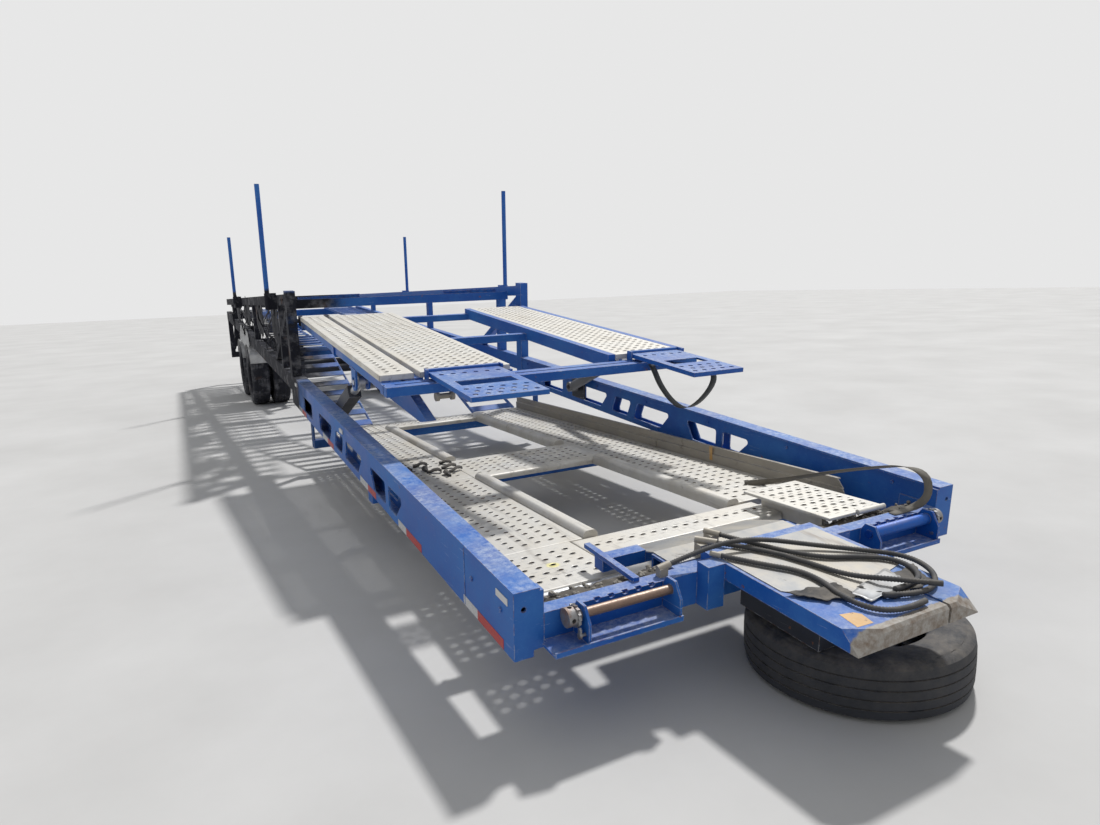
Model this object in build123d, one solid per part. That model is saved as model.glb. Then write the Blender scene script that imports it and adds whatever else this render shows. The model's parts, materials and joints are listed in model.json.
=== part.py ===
"""Car transporter semi-trailer, parked uncoupled with its nose down on a lying tyre.

Millimetres, +Z up. Every piece is first drawn in the trailer's own level frame (front at -Y,
y = 0 at the front ends of the side rails), then turned about X by the nose-down angle, so that
the road wheels and the lying tyre all stand on z = 0. The origin is on the ground, under the
middle of the whole trailer. Names with left and right are as the photograph shows the trailer
from its front, so left is -X.
"""
from build123d import *
import os
from math import atan2, cos, degrees, hypot, radians, sin, tan

os.makedirs("parts", exist_ok=True)

# How the trailer is parked
NOSE_DOWN = 3.47              # degrees, rear higher than the tongue
HALF_WIDTH = 1295.0           # half of the width over the side rails
GAP = 0.3                     # air between two pieces that seat on each other
SIDES = (("left", -1), ("right", 1))

# Side rails
RAIL_BOTTOM = 324.0
RAIL_HEIGHT = 285.0
RAIL_WIDTH = 84.0
RAIL_WALL = 10.0
FLANGE_WIDTH = 112.0
FLANGE_THICK = 12.0
RAIL_TOP = RAIL_BOTTOM + RAIL_HEIGHT
RAIL_INNER = HALF_WIDTH - RAIL_WIDTH
STIFFENER_WIDTH = 44.0        # block on the inner side of each rail's front end
STIFFENER_LENGTH = 60.0
RAIL_HOLE_RADIUS = 11.0
RAIL_HOLE_HEIGHT = 210.0      # above the rail's underside
WINDOW_RADIUS = 22.0
WINDOW_LOW = 372.0
WINDOW_HIGH = 512.0
# Windows in the rail: front edge y, rear edge y, lean of the front edge, lean of the rear edge
RAIL_WINDOWS = (
    (1430.0, 1730.0, 150.0, 0.0),
    (1800.0, 2160.0, 0.0, -90.0),
    (2360.0, 2830.0, 130.0, 60.0),
    (2930.0, 3180.0, 60.0, 60.0),
    (3310.0, 3840.0, 120.0, 0.0),
    (4180.0, 4600.0, 0.0, 0.0),
)

# Front cross beam with the two strap winches in front of it
BEAM_REAR = 240.0
BEAM_TOP = 500.0
BEAM_BOTTOM = 350.0
BEAM_WALL = 12.0
# On each side the beam is open behind a narrow top strip: it leaves a trough with a low rear lip
BEAM_STRIP = 72.0
TROUGH_LIP = 45.0
TROUGH_INNER = {"left": 492.0, "right": 345.0}
NOTCH_RADIUS = 14.0           # lashing notches along the front edge of the beam's top
NOTCH_COUNT = 5
NOTCH_PITCH = 66.0
WINCH_Y = -50.0
WINCH_Z = 485.0
WINCH_ENDS = (RAIL_INNER - 611.0, RAIL_INNER - 181.0)   # inner and outer cheek
CHEEK_THICK = 12.0
TRAY_FRONT = -130.0
TRAY_Z = 376.0
TRAY_LIP = 24.0
TRAY_OVERHANG = {"left": 155.0, "right": 6.0}   # of the tray beyond the middle of its outer cheek
TRAY_THICK = 10.0
SHAFT_RADIUS = 20.0
HEAD_RADIUS = 48.0            # ratchet head
HEAD_LENGTH = 38.0
HEAD_TEETH = 14
TOOTH_DEPTH = 7.0
RATCHET_THICK = 12.0
RATCHET_AIR = 18.0            # between the outer cheek and the ratchet wheel
BAR_HOLE_RADIUS = 9.0         # holes in the head for the winding bar
PAWL_RADIUS = 13.0
PAWL_PIN = 7.0
PAWL_AT = (-40.0, -67.0)      # from the shaft, along Y and Z

# Tongue
TONGUE_TOP = 547.0
TONGUE_DEPTH = 74.0
TONGUE_HALF = 335.0
TONGUE_FRONT = -757.0
TONGUE_WALL = 10.0
BEVEL_BACK = 80.0             # corner facets of the nose: back, across, down
BEVEL_ACROSS = 146.0
BEVEL_DOWN = 70.0
EDGE_WEAR = 12.0              # worn front edge
NOSE_SLOT_X = 158.0
NOSE_SLOT_WIDTH = 14.0
NOSE_SLOT_LENGTH = 120.0
SHOULDER_WIDTH = 90.0         # block beside the tongue's rear end, on the beam
SHOULDER_LENGTH = 72.0
COUPLER_BOTTOM = 283.2        # 0.3 above the tyre at its front edge
COUPLER_HALF = 170.0
COUPLER_WALL = 12.0
COUPLER_FRONT = -450.0
TONGUE_REAR = 90.0            # end of its top, which laps the beam
KINGPIN_RADIUS = 25.4
KINGPIN_LENGTH = 90.0
KINGPIN_ROOT = 6.0            # of the pin inside the coupler's bottom plate
KINGPIN_Y = -300.0
COVER_THICK = 4.0
# Aluminium sheet on the tongue, with its torn front edge: x, y
COVER_OUTLINE = ((-318.0, 30.0), (-318.0, -372.0), (-205.0, -492.0), (-55.0, -574.0), (75.0, -553.0),
                 (130.0, -470.0), (300.0, -430.0), (300.0, 30.0))

# Tyre that lies under the tongue: x, y of its middle
STAND_TYRE_AT = (250.0, -292.0)
STAND_TYRE_RADIUS = 478.0

# Lower deck, which falls away towards the rear
LOWER_FRONT_Z = 440.0
LOWER_SLOPE = 4.3             # degrees
DECK_THICK = 40.0
DECK_SHEET = 5.0              # wall of the folded planks and tracks
RIB_WIDTH = 20.0
TRACK_OUTER = RAIL_INNER - 149.0
TRACK_INNER = TRACK_OUTER - 532.0
TRACK_FRONT = 300.0
TRACK_FRONT_RIGHT = 810.0
TRACK_REAR = 5020.0
MEMBER_HEIGHT = 80.0
MEMBER_END = 16.0             # thickness of a member's end plate at the rail
MEMBER_WIDTH = 100.0
TRACK_JOINT = 2330.0          # where the left track's two planks meet
TRACK_FRONT_INNER = TRACK_INNER + 85.0
MEMBER_Y = (640.0, 2560.0, 4800.0)
TRACK_RIBS = (640.0, 1280.0, 1920.0, 2560.0, 3200.0, 3840.0, 4480.0, 4800.0)
# Sleeves and the blue rod on the front edge of the left track: x low, x high, radius
TRACK_NOSE = ((-TRACK_OUTER, -TRACK_OUTER + 170.0, 20.0),
              (-TRACK_OUTER + 168.0, -TRACK_OUTER + 329.0, 14.0),
              (-TRACK_OUTER + 327.0, -TRACK_FRONT_INNER, 20.0))
TUBE_WIDTH = 90.0
TUBE_HEIGHT = 34.0
TUBE_RADIUS = 30.0
# Cross planks: front edge, rear edge, half width
CROSS_PLANKS = {
    "front": (530.0, 790.0, TRACK_FRONT_INNER - 5.0),
    "mid": (2310.0, 2930.0, TRACK_INNER),
    "rear": (4700.0, 5000.0, TRACK_INNER),
}
PLANK_NOSE = 20.0             # rounding of a cross plank's edges
KERB_HEIGHT = 118.0
KERB_STEP = 62.0              # height of the kerb's fold
KERB_SHEET = 6.0
KERB_OUT = 10.0               # how far the kerb's upper part stands out
KERB_FRONT = 497.0
KERB_CHAMFER = (58.0, 71.0)   # back and down
KERB_PATCH = (2340.0, 2900.0)
RAISED_Y = (112.0, 730.0)     # raised plate at the right front
RAISED_X = (TRACK_OUTER - 555.0, TRACK_OUTER - 147.0)
RAISED_LIFT = 92.0

# Upper middle deck, hinged at its rear
MID_FRONT_Z = 1078.0
MID_FRONT = 2190.0
MID_REAR = 5060.0
MID_SLOPE = 2.4               # degrees
PLANK_THICK = 38.0
# Planks of the middle deck: inner x and outer x, negative on the left
MID_PLANKS = {
    "mid_plank_left_outer": (21.0 - RAIL_INNER, 246.0 - RAIL_INNER),
    "mid_plank_left_inner": (286.0 - RAIL_INNER, 921.0 - RAIL_INNER),
    "mid_plank_right": (RAIL_INNER - 651.0, RAIL_INNER - 81.0),
}
MID_RIBS = (700.0, 1400.0, 2100.0)
# Hole in the outer left plank: its span across, then along
PLANK_HOLE = (101.0 - RAIL_INNER, 201.0 - RAIL_INNER, 1010.0, 1120.0)
HINGE_U = 3030.0              # hinge axis behind the deck's front edge
HINGE_DROP = 60.0             # hinge axis below the deck's top face
FRAME_DEPTH = 62.0
FRAME_HALF = RAIL_INNER - 19.0
FRAME_WALL = 8.0
CROSS_TUBE = 60.0
CROSS_TUBE_U = (-130.0, -50.0, 1400.0, 2810.0)
CROSS_DROP = 8.0              # cross tubes below the channels' top
EAR_THICK = 30.0
EAR_RADIUS = 52.0
FOOT_X = 271.0 - RAIL_INNER
FOOT_WIDTH = 62.0
FOOT_SHEET = 8.0

# Flaps at the front of the middle deck: inner x and outer x
FLAPS = {"left": (826.0 - RAIL_INNER, 331.0 - RAIL_INNER),
         "right": (RAIL_INNER - 531.0, RAIL_INNER - 111.0)}
FLAP_LENGTH = 764.0
FLAP_THICK = 30.0
FLAP_SHEET = 6.0
FLAP_AXIS = (-14.0, 6.0)      # distance ahead of the planks, height above them
FLAP_WINDOW = (-470.0, -345.0)
FLAP_RAIL = 34.0              # plain border beside the window
HOLE_PITCH = 78.0
FLAP_HOLE_RADIUS = 17.0
# Rows of holes in a flap: distance ahead of the planks, share of a pitch that the row is shifted
FLAP_HOLE_ROWS = ((-133.0, 0.0), (-560.0, 0.0), (-632.0, 0.5), (-704.0, 0.0))
KNUCKLE = 14.0
FLAP_PIN = 8.0
FLAP_LUG = 12.0

# Strap winch on the middle deck's front tube: x low, x high of its shaft, place of its axis
MID_WINCH_X = (349.0 - RAIL_INNER, 451.0 - RAIL_INNER)
MID_WINCH_U = -136.0
MID_WINCH_RADIUS = 30.0

# Lift cylinders of the middle deck
LIFT_X = RAIL_INNER - 83.0
LIFT_BASE = (3830.0, 500.0)   # y, z of the lower pin
EYE_U = 765.0                 # rod's eye behind the deck's front edge
EYE_DROP = 205.0              # rod's eye below the deck's top face
BARREL_WIDTH = 96.0
BARREL_LENGTH = 690.0
ROD_RADIUS = 30.0
ROD_START = 290.0             # lower end of the rod, from the lower pin
PIN_RADIUS = 20.0
EYE_PLAY = 20.0               # air round the rod's pin in the deck's lugs
EYE_RADIUS = 44.0
LUG_THICK = 16.0
LUG_SPREAD = 46.0
LUG_RADIUS = 62.0
BRACKET_THICK = 24.0
BRACKET_HALF = 110.0          # half its length along the rail

# Posts
POST_Y = 5150.0
RAIL_END = POST_Y - GAP
POST_DEPTH = 130.0
POST_WIDTH = 88.0
POST_WALL = 8.0
POST_TOP = 1440.0
STAY_Y = 5750.0
STAY_DEPTH = 90.0

# Rear upper deck
TOP_FRONT_Z = 1415.0
TOP_SLOPE = 4.0               # degrees that it falls to the rear
TOP_REAR = 13200.0
SIDE_DEPTH = 110.0
SIDE_WIDTH = 70.0
SIDE_INSET = 10.0             # outer face of the top rails inside the overall width
TOP_TRACK = (HALF_WIDTH - 825.0, HALF_WIDTH - 175.0)   # inner and outer x of the rear upper tracks
TOP_TRACK_FRONT = 500.0
SLAT_PITCH = 240.0
SLAT_WIDTH = 110.0
SLAT_THICK = 8.0
TOP_TRACK_THICK = 40.0
TOP_BEAM_U = (420.0, 1250.0, 2150.0, 3500.0, 5000.0, 7990.0)

# Safety stakes, each in a socket on the outside of its top rail: y and top z of each pair
STAKES = ((5930.0, 2480.0), (10030.0, 1990.0))
STAKE_X = HALF_WIDTH + 77.0
STAKE_RADIUS = 24.0
STAKE_WALL = 5.0
SOCKET_WALL = 6.0
SOCKET_LENGTH = 170.0

# Rear frame over the wheels
REAR_END = 13300.0
REAR_RAIL_BOTTOM = 452.0
REAR_TRACK = (TRACK_INNER + 30.0, TRACK_OUTER - 2.0)
REAR_DECK_Z = 620.0
REAR_DECK_FRONT = 7085.0
REAR_MEMBER_Y = (7240.0, 8700.0, 10550.0, 13240.0)
REAR_POST_Y = (8500.0, 11950.0)
REAR_POST = 100.0
BUMPER_LOW = -290.0
BUMPER_HIGH = -190.0

# Wheels
TYRE_RADIUS = 465.0
TYRE_WIDTH = 255.0
ROUND_SIDES = 36              # sides of tyres and rims
CROWN_THICK = 40.0
SIDEWALL_THICK = 34.0
# Outline of a tyre: share of its half width, drop from the tread's radius
WHEEL_SECTIONS = ((-1.0, 44.0), (-0.8, 5.0), (0.8, 5.0), (1.0, 44.0))
STAND_SECTIONS = ((-1.0, 52.0), (-0.8, 6.0), (0.0, 0.0), (0.8, 6.0), (1.0, 52.0))
RIM_RADIUS = 286.0
AXLE_Y = (9950.0, 11200.0)
TYRE_OUTER_X = HALF_WIDTH - 10.0
TWIN_GAP = 48.0
AXLE_RADIUS = 64.0
HUB_RADIUS = 140.0
SPINDLE_RADIUS = 40.0
HUB_BORE_PLAY = 1.0
SPRING_X = HALF_WIDTH - 735.0
SPRING_BEAM_LOW = 400.0
LEAF_THICK = 13.0
LEAF_COUNT = 4
LEAF_HALF = 540.0
FENDER_AIR = 40.0
FENDER_THICK = 8.0

# Front beam's fittings
FRONT_BAR = ((-725.0, -695.0), (45.0, 450.0), (500.3, 520.0))
FRONT_CHANNEL = ((-722.0, -490.0), (290.0, 360.0), (440.0, 501.0))
COVER_SLOPE_X = (-480.0, 320.0)
COVER_SLOPE_Y = (100.0, 245.0, 500.0)
COVER_SLOPE_DROP = 85.0
COVER_SHEET = 6.0

# Air hoses that lie coiled on the tongue: radius, then the points of each route
HOSE_RADIUS = 12.0
HOSES = {
    "hose_long": (
        (-544.0, 40.0, 546.0), (-330.0, 25.0, 594.0), (-120.0, -15.0, 598.0),
        (80.0, -140.0, 574.0), (240.0, -265.0, 564.0), (375.0, -400.0, 564.0),
        (350.0, -545.0, 564.0), (226.0, -650.0, 564.0), (90.0, -655.0, 564.0),
        (-20.0, -600.0, 564.0),
    ),
    "hose_middle": (
        (-248.0, 85.0, 564.0), (-110.0, -90.0, 564.0), (-50.0, -250.0, 564.0),
        (-5.0, -420.0, 564.0), (90.0, -570.0, 590.0), (200.0, -690.0, 598.0),
    ),
    "hose_right": (
        (-175.0, 150.0, 564.0), (-95.0, -40.0, 564.0), (30.0, -245.0, 564.0),
        (175.0, -310.0, 564.0), (300.0, -400.0, 564.0), (285.0, -525.0, 564.0),
        (190.0, -598.0, 564.0), (60.0, -590.0, 564.0),
    ),
    "hose_left": (
        (-322.0, -30.0, 564.0), (-245.0, -160.0, 564.0), (-110.0, -330.0, 564.0),
        (-185.0, -590.0, 564.0), (-85.0, -725.0, 564.0), (80.0, -705.0, 564.0),
    ),
}
# Couplings at the near ends: radius, length, then the foot's x and y from the hose's end and its underside
HOSE_ENDS = {
    "hose_long": (17.0, 60.0, (-60.0, -18.0), (-16.0, 16.0), BEAM_TOP + GAP),
    "hose_middle": (16.0, 100.0, (-75.0, -18.0), (20.0, 66.0), BEAM_TOP + 2 * GAP + COVER_SHEET),
    "hose_right": (14.0, 80.0, (-40.0, 6.0), (14.0, 68.0), BEAM_TOP + 2 * GAP + COVER_SHEET),
    "hose_left": (12.3, 50.0, None, None, None),
}


def parked(y, z):
    """Y and Z, as parked and before centring, of a point of the trailer's own frame."""
    angle = radians(NOSE_DOWN)
    return y * cos(angle) - z * sin(angle), y * sin(angle) + z * cos(angle)


def level(y, z):
    """The trailer-frame y and z of a parked point."""
    angle = radians(NOSE_DOWN)
    return y * cos(angle) + z * sin(angle), -y * sin(angle) + z * cos(angle)


# Middle of the trailer's length, as parked
FOREMOST = parked(TONGUE_FRONT, TONGUE_TOP - BEVEL_DOWN)[0]
REARMOST = parked(REAR_END, BUMPER_LOW)[0]
CENTRE_Y = (FOREMOST + REARMOST) / 2
GROUND = Location((0, -CENTRE_Y, 0))
WORLD = Location((0, -CENTRE_Y, 0), (NOSE_DOWN, 0, 0))
LOWER = Location((0, 0, LOWER_FRONT_Z), (-LOWER_SLOPE, 0, 0))
MID = Location((0, MID_FRONT, MID_FRONT_Z), (MID_SLOPE, 0, 0))
TOP = Location((0, POST_Y, TOP_FRONT_Z), (-TOP_SLOPE, 0, 0))


def span(side, a, b):
    """The x values of two distances from the middle, on one side, in order."""
    return tuple(sorted((side * a, side * b)))


def block(x, y, z):
    """A box from its low and high corner values along each axis."""
    return Pos(sum(x) / 2, sum(y) / 2, sum(z) / 2) * Box(
        abs(x[1] - x[0]), abs(y[1] - y[0]), abs(z[1] - z[0])
    )


def box_tube(x, y, z, wall):
    """A closed box section."""
    outer = block(x, y, z)
    inner = [(min(extent) + wall, max(extent) - wall) for extent in (x, y, z)]
    return outer - block(*inner)


def channel(x, y, z, wall):
    """A long channel along Y that is open underneath."""
    return block(x, y, z) - block((min(x) + wall, max(x) - wall), (min(y) + wall, max(y) - wall),
                                  (min(z) - 1, max(z) - wall))


def folded_plank(x, y, thick, ribs):
    """A plank of folded sheet, its edges turned down, with cross ribs under it; its top is at z = 0."""
    low, high = sorted(x)
    shape = block((low, high), y, (-thick, 0))
    stops = [y[0] - RIB_WIDTH / 2 + DECK_SHEET, *ribs, y[1] + RIB_WIDTH / 2 - DECK_SHEET]
    for start, end in zip(stops, stops[1:]):
        shape -= block((low + DECK_SHEET, high - DECK_SHEET), (start + RIB_WIDTH / 2, end - RIB_WIDTH / 2),
                       (-thick - 1, -DECK_SHEET))
    return shape


def slatted(x, y, thick):
    """Cross slats between two side flanges; the top is at z = 0."""
    low, high = sorted(x)
    shape = block((low, low + SLAT_THICK), y, (-thick, 0))
    shape += block((high - SLAT_THICK, high), y, (-thick, 0))
    count = int((y[1] - y[0] - SLAT_WIDTH) // SLAT_PITCH)
    pitch = (y[1] - y[0] - SLAT_WIDTH) / count
    for number in range(count + 1):
        start = y[0] + number * pitch
        shape += block((low, high), (start, start + SLAT_WIDTH), (-SLAT_THICK, 0))
    return shape


def side_plate(points, x, thick, radius=0.0):
    """A plate across X, from (y, z) points, centred on x."""
    face = make_face(Polyline(*[(y, z) for y, z in points], close=True))
    if radius:
        face = fillet(face.vertices(), radius)
    return Pos(x, 0, 0) * extrude(Plane.YZ * face, thick / 2, both=True)


def flat_plate(points, z, thick):
    """A plate lying flat, from (x, y) points, with its underside at z."""
    face = make_face(Polyline(*points, close=True))
    return Pos(0, 0, z) * extrude(face, thick)


def rod(x, y, z, radius, length, axis="X"):
    """A round bar centred on a point."""
    turn = {"X": (0, 90, 0), "Y": (90, 0, 0), "Z": (0, 0, 0)}[axis]
    return Location((x, y, z), turn) * Cylinder(radius, length)


def bar(start, end, x, width, depth):
    """A square bar across the (y, z) plane, from start to end."""
    dy, dz = end[0] - start[0], end[1] - start[1]
    length = hypot(dy, dz)
    middle = ((start[0] + end[0]) / 2, (start[1] + end[1]) / 2)
    place = Location((x, *middle), (degrees(atan2(dz, dy)), 0, 0))
    return place * Box(width, length, depth)


def flats(radius):
    """A many-sided outline whose flats are at the radius, one of them facing down once it stands."""
    return RegularPolygon(radius, ROUND_SIDES, major_radius=False, rotation=180 / ROUND_SIDES)


def drum(x, radius, length):
    """A many-sided drum along X through the origin, centred on x."""
    return Location((x, 0, 0), (0, 90, 0)) * extrude(flats(radius), length / 2, both=True)


def turned(sections):
    """A many-sided solid about Z through (z, radius) sections."""
    return loft([Pos(0, 0, z) * flats(radius) for z, radius in sections], ruled=True)


def save(name, *solids, place=None, frame=WORLD):
    """Turn a piece into the parked position and write it."""
    shape = solids[0]
    for other in solids[1:]:
        shape = shape + other
    if place is not None:
        shape = place * shape
    export_step(frame * shape, f"parts/{name}.step")


def from_mid(u, w):
    """Trailer-frame y and z of a point of the middle deck."""
    angle = radians(MID_SLOPE)
    return MID_FRONT + u * cos(angle) - w * sin(angle), MID_FRONT_Z + u * sin(angle) + w * cos(angle)


hinge = from_mid(HINGE_U, -HINGE_DROP)


def rail(side):
    """A welded box rail with see-through windows, a wide top flange and an end plate."""
    mid_x = side * (HALF_WIDTH - RAIL_WIDTH / 2)
    body = box_tube(span(side, RAIL_INNER, HALF_WIDTH), (0, RAIL_END),
                    (RAIL_BOTTOM, RAIL_TOP - FLANGE_THICK), RAIL_WALL)
    for front, rear, lean_front, lean_rear in RAIL_WINDOWS:
        outline = ((front, WINDOW_HIGH), (rear, WINDOW_HIGH), (rear + lean_rear, WINDOW_LOW),
                   (front + lean_front, WINDOW_LOW))
        body -= side_plate(outline, mid_x, RAIL_WIDTH + 20, WINDOW_RADIUS)
    body += block(span(side, HALF_WIDTH - FLANGE_WIDTH, HALF_WIDTH), (0, RAIL_END),
                  (RAIL_TOP - FLANGE_THICK, RAIL_TOP))
    body += block(span(side, RAIL_INNER - STIFFENER_WIDTH, RAIL_INNER + RAIL_WALL / 2),
                  (0, STIFFENER_LENGTH),
                  (RAIL_BOTTOM + 30, RAIL_TOP - FLANGE_THICK + 1))
    hole_z = RAIL_BOTTOM + RAIL_HOLE_HEIGHT
    return body - rod(mid_x, RAIL_WALL / 2, hole_z, RAIL_HOLE_RADIUS, RAIL_WALL + 4, "Y")


for name, side in SIDES:
    save(f"side_rail_{name}", rail(side))

# Front cross beam: box, lashing notches, shoulders beside the tongue, winch trays and cheeks
beam_half = RAIL_INNER - GAP
cheek_outline = ((TRAY_FRONT + 12, TRAY_Z + 2), (TRAY_FRONT + 12, WINCH_Z - 20),
                 (WINCH_Y - 28, WINCH_Z + 45), (WINCH_Y + 28, WINCH_Z + 45),
                 (4, BEAM_TOP - 10), (4, TRAY_Z + 2))
front_beam = box_tube((-beam_half, beam_half), (0, BEAM_REAR), (BEAM_BOTTOM, BEAM_TOP), BEAM_WALL)
for side_name, side in SIDES:
    front_beam += block(span(side, TONGUE_HALF + GAP, TONGUE_HALF + SHOULDER_WIDTH), (-SHOULDER_LENGTH, 4),
                        (BEAM_BOTTOM, TONGUE_TOP))
    tray_x = span(side, WINCH_ENDS[0] - CHEEK_THICK / 2, WINCH_ENDS[1] + TRAY_OVERHANG[side_name])
    front_beam += block(tray_x, (TRAY_FRONT, 4), (TRAY_Z, TRAY_Z + TRAY_THICK))
    front_beam += block(tray_x, (TRAY_FRONT, TRAY_FRONT + 7), (TRAY_Z, TRAY_Z + TRAY_LIP))
    for end in WINCH_ENDS:
        cheek = side_plate(cheek_outline, side * end, CHEEK_THICK)
        front_beam += cheek - rod(side * end, WINCH_Y, WINCH_Z, SHAFT_RADIUS + GAP, 40)
    front_beam -= rod(side * WINCH_ENDS[1], WINCH_Y + PAWL_AT[0], WINCH_Z + PAWL_AT[1], PAWL_PIN + GAP, 40)
    for number in range(NOTCH_COUNT):
        notch_x = side * (WINCH_ENDS[0] + 62 + number * NOTCH_PITCH)
        front_beam -= rod(notch_x, BEAM_WALL / 2, BEAM_TOP, NOTCH_RADIUS, BEAM_WALL + 4, "Y")
    front_beam -= block(span(side, TROUGH_INNER[side_name], beam_half - BEAM_WALL),
                        (BEAM_STRIP, BEAM_REAR + 1), (BEAM_BOTTOM + TROUGH_LIP, BEAM_TOP + 1))
    # Room for the stiffener of the side rail
    front_beam -= block(span(side, RAIL_INNER - STIFFENER_WIDTH - GAP, HALF_WIDTH),
                        (-GAP - 20, STIFFENER_LENGTH + GAP), (RAIL_BOTTOM, RAIL_TOP))
front_beam += channel(*FRONT_CHANNEL, 8.0)
front_beam += block(FRONT_BAR[0], FRONT_BAR[1], (BEAM_TOP - 1, FRONT_BAR[2][1]))
save("front_beam", front_beam)

# Sheet that slopes from the beam to the lower deck's front plank
flat_y, bend_y, low_y = COVER_SLOPE_Y
slope_z = BEAM_TOP + GAP
front_sheet = side_plate(((flat_y, slope_z), (bend_y, slope_z),
                          (low_y, slope_z - COVER_SLOPE_DROP),
                          (low_y, slope_z - COVER_SLOPE_DROP + COVER_SHEET),
                          (bend_y, slope_z + COVER_SHEET),
                          (flat_y, slope_z + COVER_SHEET)),
                         sum(COVER_SLOPE_X) / 2, COVER_SLOPE_X[1] - COVER_SLOPE_X[0])
save("front_cover_plate", front_sheet)


def saw_wheel(x, y, z, thick):
    """A ratchet wheel with one-way teeth, across X."""
    pitch = 360.0 / HEAD_TEETH
    points = []
    for number in range(HEAD_TEETH):
        for share, radius in ((0.0, HEAD_RADIUS), (0.18, HEAD_RADIUS - TOOTH_DEPTH)):
            angle = radians((number + share) * pitch)
            points.append((y + radius * cos(angle), z + radius * sin(angle)))
    return side_plate(points, x, thick)


# Strap winches: shaft, ratchet wheel, head with its bar holes, and the pawl in the outer cheek
winches = []
for side_name, side in SIDES:
    head_start = WINCH_ENDS[1] + CHEEK_THICK / 2 + RATCHET_AIR
    head_end = head_start + RATCHET_THICK + HEAD_LENGTH
    middle = side * (WINCH_ENDS[0] - 16 + head_end - 4) / 2
    winch = rod(middle, WINCH_Y, WINCH_Z, SHAFT_RADIUS, head_end - 4 - WINCH_ENDS[0] + 16)
    if side > 0:
        winch += rod(side * sum(WINCH_ENDS) / 2, WINCH_Y, WINCH_Z, SHAFT_RADIUS + 9,
                     WINCH_ENDS[1] - WINCH_ENDS[0] - CHEEK_THICK - 4)
    winch += saw_wheel(side * (head_start + RATCHET_THICK / 2), WINCH_Y, WINCH_Z, RATCHET_THICK)
    head_x = side * (head_start + RATCHET_THICK - 1 + HEAD_LENGTH / 2)
    winch += rod(head_x, WINCH_Y, WINCH_Z, HEAD_RADIUS - TOOTH_DEPTH - 2, HEAD_LENGTH)
    for axis in ("Y", "Z"):
        winch -= rod(head_x, WINCH_Y, WINCH_Z, BAR_HOLE_RADIUS, 3 * HEAD_RADIUS, axis)
    winches.append(winch)
    pawl_y, pawl_z = WINCH_Y + PAWL_AT[0], WINCH_Z + PAWL_AT[1]
    finger = ((pawl_y - 8, pawl_z), (pawl_y + 6, pawl_z), (pawl_y + 7, pawl_z + 30), (pawl_y, pawl_z + 34),
              (pawl_y - 8, pawl_z + 26))
    pawl = side_plate(finger, side * (head_start + RATCHET_THICK / 2), RATCHET_THICK - 2)
    pawl += rod(side * (head_start + RATCHET_THICK / 2), pawl_y, pawl_z, PAWL_RADIUS, RATCHET_THICK - 2)
    pin_start = WINCH_ENDS[1] - CHEEK_THICK
    pin_end = head_start + RATCHET_THICK / 2
    pawl += rod(side * (pin_start + pin_end) / 2, pawl_y, pawl_z, PAWL_PIN, pin_end - pin_start)
    winches.append(pawl)
save("strap_winches", *winches)

# Tongue: a flat box with bevelled front corners and a slot, lapping the beam at its rear
tongue_bottom = TONGUE_TOP - TONGUE_DEPTH
tongue = block((-TONGUE_HALF, TONGUE_HALF), (TONGUE_FRONT, TONGUE_REAR), (tongue_bottom, TONGUE_TOP))
tongue -= block((-TONGUE_HALF - 5, TONGUE_HALF + 5), (-GAP, TONGUE_REAR + 5),
                (tongue_bottom - 5, BEAM_TOP + GAP))
for side_name, side in SIDES:
    across = Vector(-side * BEVEL_ACROSS, 0, 0)
    corner = Vector(side * TONGUE_HALF, TONGUE_FRONT, TONGUE_TOP)
    on_side = Vector(side * TONGUE_HALF, TONGUE_FRONT + BEVEL_BACK, TONGUE_TOP)
    on_front = corner + across
    below = corner - Vector(0, 0, BEVEL_DOWN)
    normal = (on_front - on_side).cross(below - on_side).normalized()
    if normal.dot(corner - on_side) < 0:
        normal = normal * -1
    cutter = Plane(origin=on_side, z_dir=normal) * Pos(0, 0, 150) * Box(600, 600, 300)
    tongue -= cutter
tongue -= Location((0, TONGUE_FRONT, TONGUE_TOP - EDGE_WEAR), (45, 0, 0)) * block(
    (-TONGUE_HALF - 1, TONGUE_HALF + 1), (-30, 60), (0, 40))
tongue -= block((NOSE_SLOT_X - NOSE_SLOT_WIDTH / 2, NOSE_SLOT_X + NOSE_SLOT_WIDTH / 2),
                (TONGUE_FRONT - 5, TONGUE_FRONT + NOSE_SLOT_LENGTH), (tongue_bottom - 5, TONGUE_TOP + 5))
save("tongue", tongue)
save("tongue_cover", flat_plate(COVER_OUTLINE, TONGUE_TOP + GAP, COVER_THICK))

# Coupler: the hollow bolster under the tongue that holds the kingpin and lies on the tyre
coupler = box_tube((-COUPLER_HALF, COUPLER_HALF), (COUPLER_FRONT, -GAP),
                   (COUPLER_BOTTOM, tongue_bottom - GAP), COUPLER_WALL)
kingpin = rod(0, KINGPIN_Y, COUPLER_BOTTOM - KINGPIN_LENGTH / 2 + KINGPIN_ROOT / 2, KINGPIN_RADIUS,
              KINGPIN_LENGTH + KINGPIN_ROOT, "Z")
save("coupler", coupler, kingpin)


def route(points):
    """A hose's middle line: straight runs joined by arcs."""
    vectors = [Vector(*point) for point in points]
    runs = [(b - a).length for a, b in zip(vectors, vectors[1:])]
    radii = []
    for number in range(1, len(vectors) - 1):
        before = vectors[number] - vectors[number - 1]
        after = vectors[number + 1] - vectors[number]
        turn = radians(before.get_angle(after))
        radii.append(0.45 * min(runs[number - 1], runs[number]) / tan(turn / 2))
    return FilletPolyline(*points, radius=radii), radii, runs


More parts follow.
